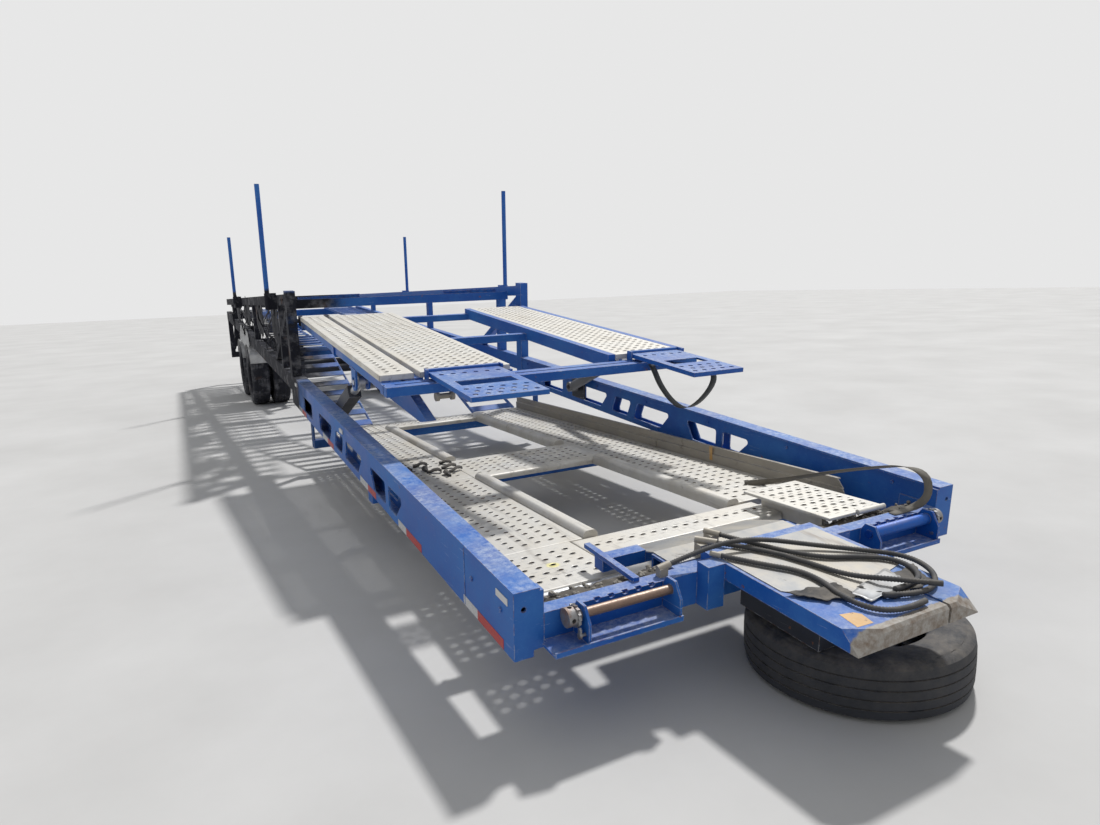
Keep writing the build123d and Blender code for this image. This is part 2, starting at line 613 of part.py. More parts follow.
for name, points in HOSES.items():
    line, radii, runs = route(points)
    first = Vector(*points[1]) - Vector(*points[0])
    hose = sweep(Plane(origin=points[0], z_dir=first) * Circle(HOSE_RADIUS), path=line)
    save(name, hose)
    print(name, "radii", [round(r) for r in radii], "runs", [round(r) for r in runs])

# Couplings at the hoses' near ends, with the blocks that hold them
couplings = []
for name, (radius, length, foot_x, foot_y, foot_z) in HOSE_ENDS.items():
    start = Vector(*HOSES[name][0])
    along = (Vector(*HOSES[name][1]) - start).normalized()
    coupling = Plane(origin=start, z_dir=along) * Pos(0, 0, -length / 2 - GAP) * Cylinder(radius, length)
    if foot_x:
        coupling += block((start.X + foot_x[0], start.X + foot_x[1]),
                          (start.Y + foot_y[0], start.Y + foot_y[1]), (foot_z, start.Z - radius / 2))
    couplings.append(coupling)
save("hose_couplings", *couplings)


def tyre(radius, sections, hollow):
    """A worn road tyre about Z: sections are (share of the half width, drop from the tread's radius)."""
    half = TYRE_WIDTH / 2
    shape = turned([(share * half, radius - drop) for share, drop in sections])
    shape -= extrude(flats(RIM_RADIUS), TYRE_WIDTH, both=True)
    if hollow:
        shape -= extrude(flats(radius - CROWN_THICK), half - SIDEWALL_THICK, both=True)
        for way in (-1, 1):
            shape -= turned([(way * half * 1.05, RIM_RADIUS + 50), (way * half * 0.72, RIM_RADIUS - 2)])
    return shape


# The tyre that the tongue lies on, flat on the ground
stand_tyre = tyre(STAND_TYRE_RADIUS, STAND_SECTIONS, True)
save("stand_tyre", Pos(*STAND_TYRE_AT, TYRE_WIDTH / 2) * stand_tyre, frame=GROUND)

# Lower deck tracks and the rounded tubes beside them
tubes = []
for name, side in SIDES:
    track_x = (side * TRACK_INNER, side * TRACK_OUTER)
    if side < 0:
        track = folded_plank(track_x, (TRACK_FRONT, TRACK_JOINT - 4), DECK_THICK,
                             [y for y in TRACK_RIBS if y < TRACK_JOINT - 60])
        step_y = CROSS_PLANKS["front"][1]
        track -= block((-TRACK_FRONT_INNER, -TRACK_INNER + 1), (TRACK_FRONT - 1, step_y),
                       (-DECK_THICK - 1, 1))
        track += block((-TRACK_FRONT_INNER - DECK_SHEET, -TRACK_FRONT_INNER), (TRACK_FRONT, step_y),
                       (-DECK_THICK, 0))
        rear = folded_plank(track_x, (TRACK_JOINT + 4, TRACK_REAR), DECK_THICK,
                            [y for y in TRACK_RIBS if y > TRACK_JOINT + 60])
        save(f"lower_track_{name}", track, rear, place=LOWER)
    else:
        ribs = [y for y in TRACK_RIBS if y > TRACK_FRONT_RIGHT + RIB_WIDTH]
        track = folded_plank(track_x, (TRACK_FRONT_RIGHT, TRACK_REAR), DECK_THICK, ribs)
        save(f"lower_track_{name}", track, place=LOWER)
    for start, end in ((CROSS_PLANKS["front"][1] + 4, CROSS_PLANKS["mid"][0] - 4),
                       (CROSS_PLANKS["mid"][1] + 4, CROSS_PLANKS["rear"][0] - 4)):
        tube = block(span(side, TRACK_INNER - TUBE_WIDTH, TRACK_INNER - GAP), (start, end),
                     (-DECK_THICK, TUBE_HEIGHT))
        tubes.append(fillet(tube.edges().filter_by(Axis.Y).group_by(Axis.Z)[-1], TUBE_RADIUS))
save("lower_tubes", *tubes, place=LOWER)

nose = None
for low, high, radius in TRACK_NOSE:
    piece = rod((low + high) / 2, TRACK_FRONT - GAP - 20.0, -20.0, radius, high - low)
    nose = piece if nose is None else nose + piece
save("track_nose", nose, place=LOWER)

# Kerb along the outside of the right track: a folded sheet with a step and a lip
kerb_x = TRACK_OUTER + GAP
profile = ((0, -DECK_THICK), (0, KERB_STEP), (KERB_OUT, KERB_STEP + KERB_SHEET), (KERB_OUT, KERB_HEIGHT),
           (KERB_OUT + 24, KERB_HEIGHT), (KERB_OUT + 24, KERB_HEIGHT - KERB_SHEET),
           (KERB_OUT + KERB_SHEET, KERB_HEIGHT - KERB_SHEET), (KERB_OUT + KERB_SHEET, KERB_STEP + 2),
           (KERB_SHEET, KERB_STEP - 4), (KERB_SHEET, -DECK_THICK))
face = make_face(Polyline(*[(kerb_x + x, z) for x, z in profile], close=True))
kerb = Pos(0, KERB_FRONT, 0) * extrude(Plane.XZ * face, KERB_FRONT - TRACK_REAR)
back, down = KERB_CHAMFER
kerb -= side_plate(((KERB_FRONT - 1, KERB_HEIGHT - down), (KERB_FRONT + back, KERB_HEIGHT + 1),
                    (KERB_FRONT - 1, KERB_HEIGHT + 1)), kerb_x, 120)
kerb += rod(kerb_x + KERB_SHEET + 4, KERB_FRONT + back + 40, 24, 22, 16)
kerb += block((kerb_x - KERB_SHEET, kerb_x + 1), KERB_PATCH, (GAP, KERB_STEP - 8))
save("kerb_plates", kerb, place=LOWER)

planks = []
for front, rear, half in CROSS_PLANKS.values():
    plank = block((-half + GAP, half - GAP), (front, rear), (-DECK_THICK, 0))
    plank = fillet(plank.edges().filter_by(Axis.X).group_by(Axis.Z)[-1], PLANK_NOSE)
    planks.append(plank)
save("lower_planks", *planks, place=LOWER)

# Cross members under the lower deck, hung from the rails
members = []
for y in MEMBER_Y:
    top = LOWER_FRONT_Z - y * sin(radians(LOWER_SLOPE)) - DECK_THICK
    member_y = (y - MEMBER_WIDTH / 2, y + MEMBER_WIDTH / 2)
    member = LOWER * block((-RAIL_INNER + GAP, RAIL_INNER - GAP), member_y,
                           (-DECK_THICK - GAP - MEMBER_HEIGHT, -DECK_THICK - GAP))
    for side_name, side in SIDES:
        member += block(span(side, RAIL_INNER - MEMBER_END, RAIL_INNER - GAP), member_y,
                        (top - MEMBER_HEIGHT, WINDOW_LOW))
    members.append(member)
save("lower_cross_members", *members)

# Raised plate at the front right, on two bars, with a short tube at its front
plate_z = (RAISED_LIFT - 14, RAISED_LIFT)
raised = block(RAISED_X, RAISED_Y, plate_z)
raised -= block((RAISED_X[0] + 60, RAISED_X[0] + 150), (RAISED_Y[0] - 1, RAISED_Y[0] + 60),
                (0, RAISED_LIFT + 1))
for x in (TRACK_FRONT_INNER + 17, RAISED_X[1] - 60):
    raised += block((x - 15, x + 15), (BEAM_REAR + 16, RAISED_Y[1] - 30), (-DECK_THICK, plate_z[0] + 1))
raised += rod(RAISED_X[1] - 110, RAISED_Y[0] - 4, plate_z[0] + 12, 14, 200)
save("raised_plate", raised, place=LOWER)

# Posts, each with a rear stay, a diagonal and the pin for the middle deck's hinge
for name, side in SIDES:
    post_x = span(side, HALF_WIDTH - POST_WIDTH, HALF_WIDTH)
    x = sum(post_x) / 2
    post = box_tube(post_x, (POST_Y, POST_Y + POST_DEPTH), (RAIL_BOTTOM, POST_TOP), POST_WALL)
    post += block(post_x, (STAY_Y, STAY_Y + STAY_DEPTH), (RAIL_TOP - 20, POST_TOP - 40))
    post += bar((POST_Y + POST_DEPTH - 4, POST_TOP - 190), (STAY_Y + 700, RAIL_TOP - 19), x,
                POST_WIDTH * 0.8, 80)
    post -= block((x - 100, x + 100), (POST_Y + POST_DEPTH, STAY_Y + 1250), (0, RAIL_TOP + GAP))
    post -= TOP * block((x - 100, x + 100), (POST_DEPTH + 4, 2000), (-SIDE_DEPTH - GAP, 400))
    post += rod(side * (HALF_WIDTH - POST_WIDTH - 34), *hinge, PIN_RADIUS, 70)
    save(f"post_{name}", post)

# Rear frame over the wheels
rear_x = [span(side, RAIL_INNER, HALF_WIDTH) for side_name, side in SIDES]
rear_y = (POST_Y + POST_DEPTH + GAP, REAR_END)
save("rear_rails", *[box_tube(x, rear_y, (REAR_RAIL_BOTTOM, RAIL_TOP), RAIL_WALL) for x in rear_x])

# Rear upper deck
TOP_Y = TOP_REAR - POST_Y
top_rails = []
top_tracks = []
for side_name, side in SIDES:
    top_rail = box_tube(span(side, HALF_WIDTH - SIDE_INSET - SIDE_WIDTH, HALF_WIDTH - SIDE_INSET),
                        (POST_DEPTH + 6, TOP_Y), (-SIDE_DEPTH, 0), POST_WALL)
    for number in range(3):
        slot_y = POST_DEPTH + 150 + number * 130
        top_rail -= block(span(side, HALF_WIDTH - SIDE_INSET - POST_WALL - 1, HALF_WIDTH),
                          (slot_y, slot_y + 70), (-SIDE_DEPTH / 2 - 11, -SIDE_DEPTH / 2 + 11))
    top_rails.append(top_rail)
    top_track = slatted(span(side, *TOP_TRACK), (TOP_TRACK_FRONT, TOP_Y - 100), TOP_TRACK_THICK)
    top_tracks.append(Pos(0, 0, TOP_TRACK_THICK - 60) * top_track)
save("top_rails", *top_rails, place=TOP)
save("top_tracks", *top_tracks, place=TOP)
beams = []
for y in (*TOP_BEAM_U, TOP_Y - 60):
    beams.append(box_tube((-HALF_WIDTH + 80 + GAP, HALF_WIDTH - 80 - GAP), (y - 40, y + 40),
                          (-SIDE_DEPTH - 40, -60 - GAP), POST_WALL))
save("top_cross_beams", *beams, place=TOP)

# Rear ramps and tracks over the wheels
tracks = []
ramp_start = (TRACK_REAR + 40, LOWER_FRONT_Z - (TRACK_REAR + 40) * sin(radians(LOWER_SLOPE)))
ramp_end = (REAR_DECK_FRONT + 20, REAR_DECK_Z)
ramp_rise = degrees(atan2(ramp_end[1] - ramp_start[1], ramp_end[0] - ramp_start[0]))
ramp_length = hypot(ramp_end[0] - ramp_start[0], ramp_end[1] - ramp_start[1])
for side_name, side in SIDES:
    track_x = span(side, *REAR_TRACK)
    ramp = Location((0, *ramp_start), (ramp_rise, 0, 0)) * slatted(track_x, (0, ramp_length), DECK_THICK)
    flat = Pos(0, 0, REAR_DECK_Z) * slatted(track_x, (REAR_DECK_FRONT, REAR_END), DECK_THICK)
    tracks.append(ramp + flat)
save("rear_tracks", *tracks)

cross = []
for y in REAR_MEMBER_Y:
    cross.append(box_tube((-RAIL_INNER + GAP, RAIL_INNER - GAP), (y - 50, y + 50),
                          (REAR_RAIL_BOTTOM + 8, REAR_DECK_Z - DECK_THICK - GAP), RAIL_WALL))
save("rear_cross_members", *cross)

# Tubular safety stakes in their sockets
stakes = []
sockets = []
for y, top in STAKES:
    foot = TOP_FRONT_Z - (y - POST_Y) * sin(radians(TOP_SLOPE)) - SIDE_DEPTH
    for side_name, side in SIDES:
        centre = (foot + top) / 2
        stake = rod(side * STAKE_X, y, centre, STAKE_RADIUS, top - foot, "Z")
        stake -= rod(side * STAKE_X, y, centre + STAKE_WALL, STAKE_RADIUS - STAKE_WALL, top - foot, "Z")
        stakes.append(stake)
        middle = foot + SOCKET_LENGTH / 2 - 40
        socket_z = (middle - SOCKET_LENGTH / 2, middle + SOCKET_LENGTH / 2)
        socket = rod(side * STAKE_X, y, middle, STAKE_RADIUS + GAP + SOCKET_WALL, SOCKET_LENGTH, "Z")
        socket += block(span(side, HALF_WIDTH - SIDE_INSET + GAP, STAKE_X), (y - 24, y + 24), socket_z)
        socket -= rod(side * STAKE_X, y, middle + 20, STAKE_RADIUS + GAP, SOCKET_LENGTH, "Z")
        sockets.append(socket)
save("stakes", *stakes)
save("stake_sockets", *sockets)

# Rear posts
pair = []
for side_name, side in SIDES:
    for y in REAR_POST_Y:
        upright = block(span(side, HALF_WIDTH - SIDE_INSET - SIDE_WIDTH, HALF_WIDTH - SIDE_INSET),
                        (y - REAR_POST / 2, y + REAR_POST / 2), (RAIL_TOP + GAP, TOP_FRONT_Z))
        upright -= TOP * block((-HALF_WIDTH, HALF_WIDTH), (0, TOP_Y), (-SIDE_DEPTH - GAP, 900))
        pair.append(upright)
save("rear_posts", *pair)

# Axles and twin wheels, drawn as parked: x of the outer and the inner tyre of a pair
TYRE_X = (TYRE_OUTER_X - TYRE_WIDTH / 2, TYRE_OUTER_X - 1.5 * TYRE_WIDTH - TWIN_GAP)
twin_middle = sum(TYRE_X) / 2


def rims(side):
    """Two steel rims, a well and a disc on one hub, about X."""
    shape = drum(side * twin_middle, RIM_RADIUS - 12, TYRE_WIDTH * 0.5)
    for x in TYRE_X:
        shape += drum(side * x, RIM_RADIUS - GAP, TYRE_WIDTH * 0.8)
    shape -= drum(side * twin_middle, RIM_RADIUS - 24, TYRE_WIDTH * 3)
    shape += drum(side * twin_middle, RIM_RADIUS - 20, 24)
    shape += rod(side * (twin_middle + 40), 0, 0, HUB_RADIUS, 160)
    return shape - rod(side * (twin_middle - 30), 0, 0, SPINDLE_RADIUS + HUB_BORE_PLAY, 200)


wheel_tyre = tyre(TYRE_RADIUS, WHEEL_SECTIONS, False)
axles = []
for row, axle_y in zip(("front", "rear"), AXLE_Y):
    y = parked(axle_y, 0)[0]
    at_axle = Pos(0, y, TYRE_RADIUS)
    for name, side in SIDES:
        save(f"rims_{row}_{name}", rims(side), place=at_axle, frame=GROUND)
        twins = [Location((side * x, 0, 0), (0, 90, 0)) * wheel_tyre for x in TYRE_X]
        save(f"tyres_{row}_{name}", *twins, place=at_axle, frame=GROUND)
    axle = rod(0, y, TYRE_RADIUS, AXLE_RADIUS, 2 * (SPRING_X + 80))
    axle += rod(0, y, TYRE_RADIUS, SPINDLE_RADIUS, 2 * (twin_middle + 60))
    axles.append(axle)
save("axles", *axles, frame=GROUND)

# Middle deck: planks on a frame of channels and square tubes
MID_LENGTH = MID_REAR - MID_FRONT
FRAME_TOP = -PLANK_THICK - GAP
FRAME_LOW = FRAME_TOP - FRAME_DEPTH
hole_x = PLANK_HOLE[:2]
hole_u = PLANK_HOLE[2:]
for name, sides in MID_PLANKS.items():
    plank = folded_plank(sides, (0, MID_LENGTH), PLANK_THICK, MID_RIBS)
    if name == "mid_plank_left_outer":
        plank -= block(hole_x, hole_u, (-DECK_SHEET - 1, 1))
    save(name, plank, place=MID)

# Long channels under and beside the planks: x low, x high, top
left_outer, left_inner, right_plank = MID_PLANKS.values()
MID_CHANNELS = (
    (left_outer[0] + 10, left_outer[0] + 70, FRAME_TOP),
    (left_outer[1] + 5, left_outer[1] + 60, FRAME_TOP),
    (left_inner[1] - 40, left_inner[1] + 20, FRAME_TOP),
    (right_plank[0] - 60, right_plank[0] - GAP, 0.0),
    (right_plank[1] + GAP, FRAME_HALF, 0.0),
)
frame = None
for low, high, top in MID_CHANNELS:
    piece = channel((low, high), (0, MID_LENGTH), (FRAME_LOW, top), FRAME_WALL)
    frame = piece if frame is None else frame + piece
tube_z = (FRAME_LOW - CROSS_DROP, FRAME_TOP - CROSS_DROP)
for u in CROSS_TUBE_U:
    frame += block((-FRAME_HALF, FRAME_HALF), (u - CROSS_TUBE / 2, u + CROSS_TUBE / 2), tube_z)
for side_name, side in SIDES:
    frame += block(span(side, FRAME_HALF - 72, FRAME_HALF - 12), (CROSS_TUBE_U[0] - CROSS_TUBE / 2, 40),
                   tube_z)
    # Hinge ear behind the deck, by the post
    ear_x = side * (HALF_WIDTH - POST_WIDTH - 27 - EAR_THICK / 2)
    ear = block((ear_x - EAR_THICK / 2, ear_x + EAR_THICK / 2), (MID_LENGTH - 200, HINGE_U),
                (-HINGE_DROP - 40, -HINGE_DROP + 22))
    ear += rod(ear_x, HINGE_U, -HINGE_DROP, EAR_RADIUS, EAR_THICK)
    ear -= rod(ear_x, HINGE_U, -HINGE_DROP, PIN_RADIUS + GAP, EAR_THICK + 4)
    frame += ear
    # Lugs for the eye of the lift cylinder's rod
    frame += block(span(side, LIFT_X - 58, LIFT_X + 58), (EYE_U - 90, EYE_U + 90),
                   (FRAME_LOW - 12, FRAME_LOW + 2))
    for offset in (-LUG_SPREAD, LUG_SPREAD):
        lug_x = side * (LIFT_X + offset)
        lug = block((lug_x - LUG_THICK / 2, lug_x + LUG_THICK / 2),
                    (EYE_U - LUG_RADIUS, EYE_U + LUG_RADIUS), (-EYE_DROP, FRAME_LOW))
        lug += rod(lug_x, EYE_U, -EYE_DROP, LUG_RADIUS, LUG_THICK)
        lug -= rod(lug_x, EYE_U, -EYE_DROP, PIN_RADIUS + EYE_PLAY, LUG_THICK + 4)
        frame += lug
# Lugs and pins that the flaps turn on
for inner, outer in FLAPS.values():
    for x, way in ((inner, 1 if inner < 0 else -1), (outer, -1 if outer < 0 else 1)):
        lug_x = x + way * FLAP_LUG
        frame += block((lug_x - FLAP_LUG / 2, lug_x + FLAP_LUG / 2), (-60.0, -1.5),
                       (FRAME_TOP - 12, FLAP_AXIS[1] + KNUCKLE))
        frame += rod(lug_x - way * 26, *FLAP_AXIS, FLAP_PIN, 50)
save("mid_deck_frame", frame, place=MID)

# Perforated flaps, folded from sheet, with a window and a knuckle on the hinge pins
for name, (inner, outer) in FLAPS.items():
    low, high = sorted((inner, outer))
    middle = (low + high) / 2
    flap_end = FLAP_AXIS[0] - 8
    plate = block((low, high), (-FLAP_LENGTH, flap_end), (-FLAP_THICK, 0))
    plate -= block((low + FLAP_SHEET, high - FLAP_SHEET), (-FLAP_LENGTH + FLAP_SHEET, flap_end - 24),
                   (-FLAP_THICK - 1, -FLAP_SHEET))
    plate -= block((low + FLAP_RAIL + 26, high - FLAP_RAIL - 26), FLAP_WINDOW, (-FLAP_THICK - 2, 2))
    for u, shift in FLAP_HOLE_ROWS:
        count = int((high - low - 2 * FLAP_RAIL) // HOLE_PITCH) + (1 if shift == 0 else 0)
        for number in range(count):
            x = middle + (number - (count - 1) / 2) * HOLE_PITCH
            plate -= rod(x, u, -FLAP_SHEET / 2, FLAP_HOLE_RADIUS, FLAP_SHEET + 4, "Z")
    plate += rod(middle, *FLAP_AXIS, KNUCKLE, high - low)
    plate -= rod(middle, *FLAP_AXIS, FLAP_PIN + GAP, high - low + 4)
    save(f"mid_flap_{name}", plate, place=MID)

# Folded foot under the front left corner of the middle deck: u, w
FOOT_OUTLINE = ((-255.0, -260.0), (-115.0, -300.0), (1068.0, -308.0), (400.0, FRAME_LOW - GAP),
                (330.0, FRAME_LOW - GAP))
foot = side_plate(FOOT_OUTLINE, FOOT_X, FOOT_WIDTH)
inside = [(u, w - FOOT_SHEET * 1.6) for u, w in FOOT_OUTLINE]
foot -= side_plate(inside, FOOT_X, FOOT_WIDTH - 2 * FOOT_SHEET)
save("mid_deck_foot", foot, place=MID)

# Small strap winch under the middle deck's front tube
winch_w = tube_z[0] - GAP - MID_WINCH_RADIUS
mid_winch = rod(sum(MID_WINCH_X) / 2, MID_WINCH_U, winch_w, MID_WINCH_RADIUS * 0.6,
                MID_WINCH_X[1] - MID_WINCH_X[0])
for x in MID_WINCH_X:
    mid_winch += rod(x, MID_WINCH_U, winch_w, MID_WINCH_RADIUS, 22)
save("mid_winch", mid_winch, place=MID)

eye = from_mid(EYE_U, -EYE_DROP)
axis_points = {"hinge": hinge, "eye": eye, "base": LIFT_BASE, "flap": from_mid(*FLAP_AXIS),
               "kingpin": (KINGPIN_Y, COUPLER_BOTTOM - KINGPIN_LENGTH / 2)}
for name, point in axis_points.items():
    y, z = parked(*point)
    print(name, round(y - CENTRE_Y, 3), round(z, 3))

# Lift cylinders: bracket and pin on the rail, barrel, rod
dy, dz = eye[0] - LIFT_BASE[0], eye[1] - LIFT_BASE[1]
reach = hypot(dy, dz)
slope = degrees(atan2(dz, -dy))
print("lift reach", round(reach, 1), "slope", round(slope, 2), "middle", round(CENTRE_Y, 4))
brackets = []
for name, side in SIDES:
    bracket = block(span(side, RAIL_INNER - BRACKET_THICK, RAIL_INNER - GAP),
                    (LIFT_BASE[0] - BRACKET_HALF, LIFT_BASE[0] + BRACKET_HALF),
                    (WINDOW_LOW + 10, RAIL_TOP - FLANGE_THICK - 4))
    bracket += rod(side * (RAIL_INNER - BRACKET_THICK - 55), *LIFT_BASE, PIN_RADIUS, 118)
    brackets.append(bracket)
    # Drawn along -Y from the lower pin, then turned to the slope
    place = Location((side * LIFT_X, *LIFT_BASE), (-slope, 0, 0))
    half = BARREL_WIDTH / 2
    if side < 0:
        barrel = block((-half, half), (-BARREL_LENGTH, 0), (-half, half))
    else:
        barrel = rod(0, -BARREL_LENGTH / 2, 0, half - 3, BARREL_LENGTH, "Y")
    barrel += rod(0, 0, 0, half, BARREL_WIDTH - 10)
    bore_length = BARREL_LENGTH - ROD_START + 30
    barrel -= rod(0, -BARREL_LENGTH + bore_length / 2 - 5, 0, ROD_RADIUS + GAP, bore_length + 10, "Y")
    barrel -= rod(0, 0, 0, PIN_RADIUS + GAP, BARREL_WIDTH + 4)
    save(f"lift_barrel_{name}", barrel, place=place)
    piston = rod(0, -(ROD_START + reach) / 2, 0, ROD_RADIUS, reach - ROD_START, "Y")
    piston += rod(0, -reach, 0, EYE_RADIUS, 44)
    piston += rod(0, -reach, 0, PIN_RADIUS, 116)
    save(f"lift_rod_{name}", piston, place=place)
save("lift_brackets", *brackets)

# Suspension: inner beam, hangers and leaf packs over the axles
springs = []
for side_name, side in SIDES:
    x = side * SPRING_X
    beam = block((x - 40, x + 40), (AXLE_Y[0] - 800, REAR_END - 120),
                 (SPRING_BEAM_LOW, REAR_RAIL_BOTTOM + 8 - GAP))
    for axle_y in AXLE_Y:
        centre = level(parked(axle_y, 0)[0], TYRE_RADIUS)
        leaf_z = centre[1] + AXLE_RADIUS + GAP
        for number in range(LEAF_COUNT):
            reach_y = LEAF_HALF * (LEAF_COUNT + number) / (2 * LEAF_COUNT - 1)
            low_z = leaf_z + number * LEAF_THICK
            beam += block((x - 36, x + 36), (centre[0] - reach_y, centre[0] + reach_y),
                          (low_z, low_z + LEAF_THICK))
        for offset in (-LEAF_HALF, LEAF_HALF):
            beam += block((x - 40, x + 40), (centre[0] + offset - 45, centre[0] + offset + 45),
                          (leaf_z - 24, SPRING_BEAM_LOW + 5))
    springs.append(beam)
save("suspension", *springs)

# Fenders over the wheels, hung from the rear rails
fender_radius = TYRE_RADIUS + FENDER_AIR
for name, side in SIDES:
    x_mid = side * TYRE_X[0]
    hanger_x = side * (HALF_WIDTH - RAIL_WIDTH / 2)
    fenders = []
    for axle_y in AXLE_Y:
        centre = level(parked(axle_y, 0)[0], TYRE_RADIUS)
        arc = rod(x_mid, *centre, fender_radius + FENDER_THICK, TYRE_WIDTH + 10)
        arc -= rod(x_mid, *centre, fender_radius, TYRE_WIDTH + 20)
        arc = arc & block((x_mid - 400, x_mid + 400), (centre[0] - 440, centre[0] + 440),
                          (centre[1] + 150, centre[1] + 900))
        arc += block((hanger_x - 10, hanger_x + 10), (centre[0] - 40, centre[0] + 40),
                     (centre[1] + fender_radius + FENDER_THICK / 2, REAR_RAIL_BOTTOM - GAP))
        fenders.append(arc)
    save(f"fender_{name}", *fenders)

# Rear under-run bar
bumper = block((-RAIL_INNER - 8, RAIL_INNER + 8), (REAR_END - 90, REAR_END), (BUMPER_LOW, BUMPER_HIGH))
for side_name, side in SIDES:
    bumper += block(span(side, RAIL_INNER + 4, HALF_WIDTH - 4), (REAR_END - 90, REAR_END),
                    (BUMPER_LOW, REAR_RAIL_BOTTOM - GAP))
save("rear_bumper", bumper)
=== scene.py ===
"""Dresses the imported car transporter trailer: finishes, perforated planks, cords, wear and light."""
import json
import random
from math import cos, pi, radians, sin

import bpy
from mathutils import Matrix, Vector


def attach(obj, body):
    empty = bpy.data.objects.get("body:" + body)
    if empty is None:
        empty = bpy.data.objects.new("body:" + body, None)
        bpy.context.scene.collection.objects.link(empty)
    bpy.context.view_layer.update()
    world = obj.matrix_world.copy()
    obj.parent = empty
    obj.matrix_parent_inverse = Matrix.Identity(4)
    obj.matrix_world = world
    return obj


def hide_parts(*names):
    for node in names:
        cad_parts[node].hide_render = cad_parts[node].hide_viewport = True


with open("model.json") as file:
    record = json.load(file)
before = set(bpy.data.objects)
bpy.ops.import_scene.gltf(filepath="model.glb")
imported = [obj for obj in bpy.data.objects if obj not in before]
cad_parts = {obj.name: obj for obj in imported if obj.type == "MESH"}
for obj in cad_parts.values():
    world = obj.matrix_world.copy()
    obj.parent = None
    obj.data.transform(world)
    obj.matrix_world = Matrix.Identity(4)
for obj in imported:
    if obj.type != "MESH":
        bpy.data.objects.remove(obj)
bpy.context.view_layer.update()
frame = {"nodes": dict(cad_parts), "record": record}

# The parked trailer: its own level frame turned about X, then centred; the lower and the middle deck
NOSE_DOWN = radians(3.47)
CENTRE_Y = 6.2543428
PARK = Matrix.Translation((0, -CENTRE_Y, 0)) @ Matrix.Rotation(NOSE_DOWN, 4, "X")
LOWER = PARK @ Matrix.Translation((0, 0, 0.44)) @ Matrix.Rotation(radians(-4.3), 4, "X")
MID = PARK @ Matrix.Translation((0, 2.19, 1.078)) @ Matrix.Rotation(radians(2.4), 4, "X")
# Left and right are as the photograph shows the trailer, from its front
SIDES = (("left", -1), ("right", 1))


def outward(side, x, y, z, base=Matrix(), turn=90):
    """A place on one side of the trailer whose Z points out, or in with a turn of -90."""
    return base @ Matrix.Translation((side * x, y, z)) @ Matrix.Rotation(radians(turn * side), 4, "Y")


# Camera, in the trailer's own frame, for the 1100 x 825 photograph
FOCAL_PX = 720.9
FRAME_PX = 1100
CAMERA_AT = Vector((-2.31, -2.237, 1.88))
CAMERA_YAW = radians(27.71)
CAMERA_PITCH = radians(13.26)
CAMERA_ROLL = radians(-0.39)


def add_camera():
    """The photograph's view."""
    forward = Vector((sin(CAMERA_YAW) * cos(CAMERA_PITCH), cos(CAMERA_YAW) * cos(CAMERA_PITCH),
                      -sin(CAMERA_PITCH)))
    right = Vector((cos(CAMERA_YAW), -sin(CAMERA_YAW), 0))
    up = right.cross(forward)
    rolled_right = cos(CAMERA_ROLL) * right + sin(CAMERA_ROLL) * up
    rolled_up = cos(CAMERA_ROLL) * up - sin(CAMERA_ROLL) * right
    turn = Matrix((rolled_right, rolled_up, -forward)).transposed().to_4x4()
    camera = bpy.data.objects.new("camera", bpy.data.cameras.new("camera"))
    camera.data.lens = camera.data.sensor_width * FOCAL_PX / FRAME_PX
    camera.data.clip_end = 200
    camera.matrix_world = PARK @ Matrix.Translation(CAMERA_AT) @ turn
    bpy.context.scene.collection.objects.link(camera)
    bpy.context.scene.camera = camera


# Colours, linear
BLUE = (0.008, 0.092, 0.40)
CHALK = (0.07, 0.25, 0.58)
DUST = (0.42, 0.37, 0.30)
RUST = (0.20, 0.075, 0.028)
SOOT = (0.012, 0.013, 0.020)
ASH = (0.13, 0.13, 0.14)

# Where a finish changes, in world metres. FIRE: an axis, and where along it things go from whole to burnt
FIRE = ((1, (-2.4, -0.6)), (0, (-0.35, -1.15)), (1, (8.4, 6.4)), (2, (1.82, 1.72)))
SCRAPED_NOSE = (-0.728 - CENTRE_Y, -0.764 - CENTRE_Y)  # where the tongue's paint ends
SHAFT_OUTER = (1.022, 1.014)                           # the winch shafts' ends across the trailer
SHAFT_INNER = (0.1, 0.2)
YELLOW_AT = PARK @ Vector((-0.839, 0.544, 0.399))      # a smudge on the left track


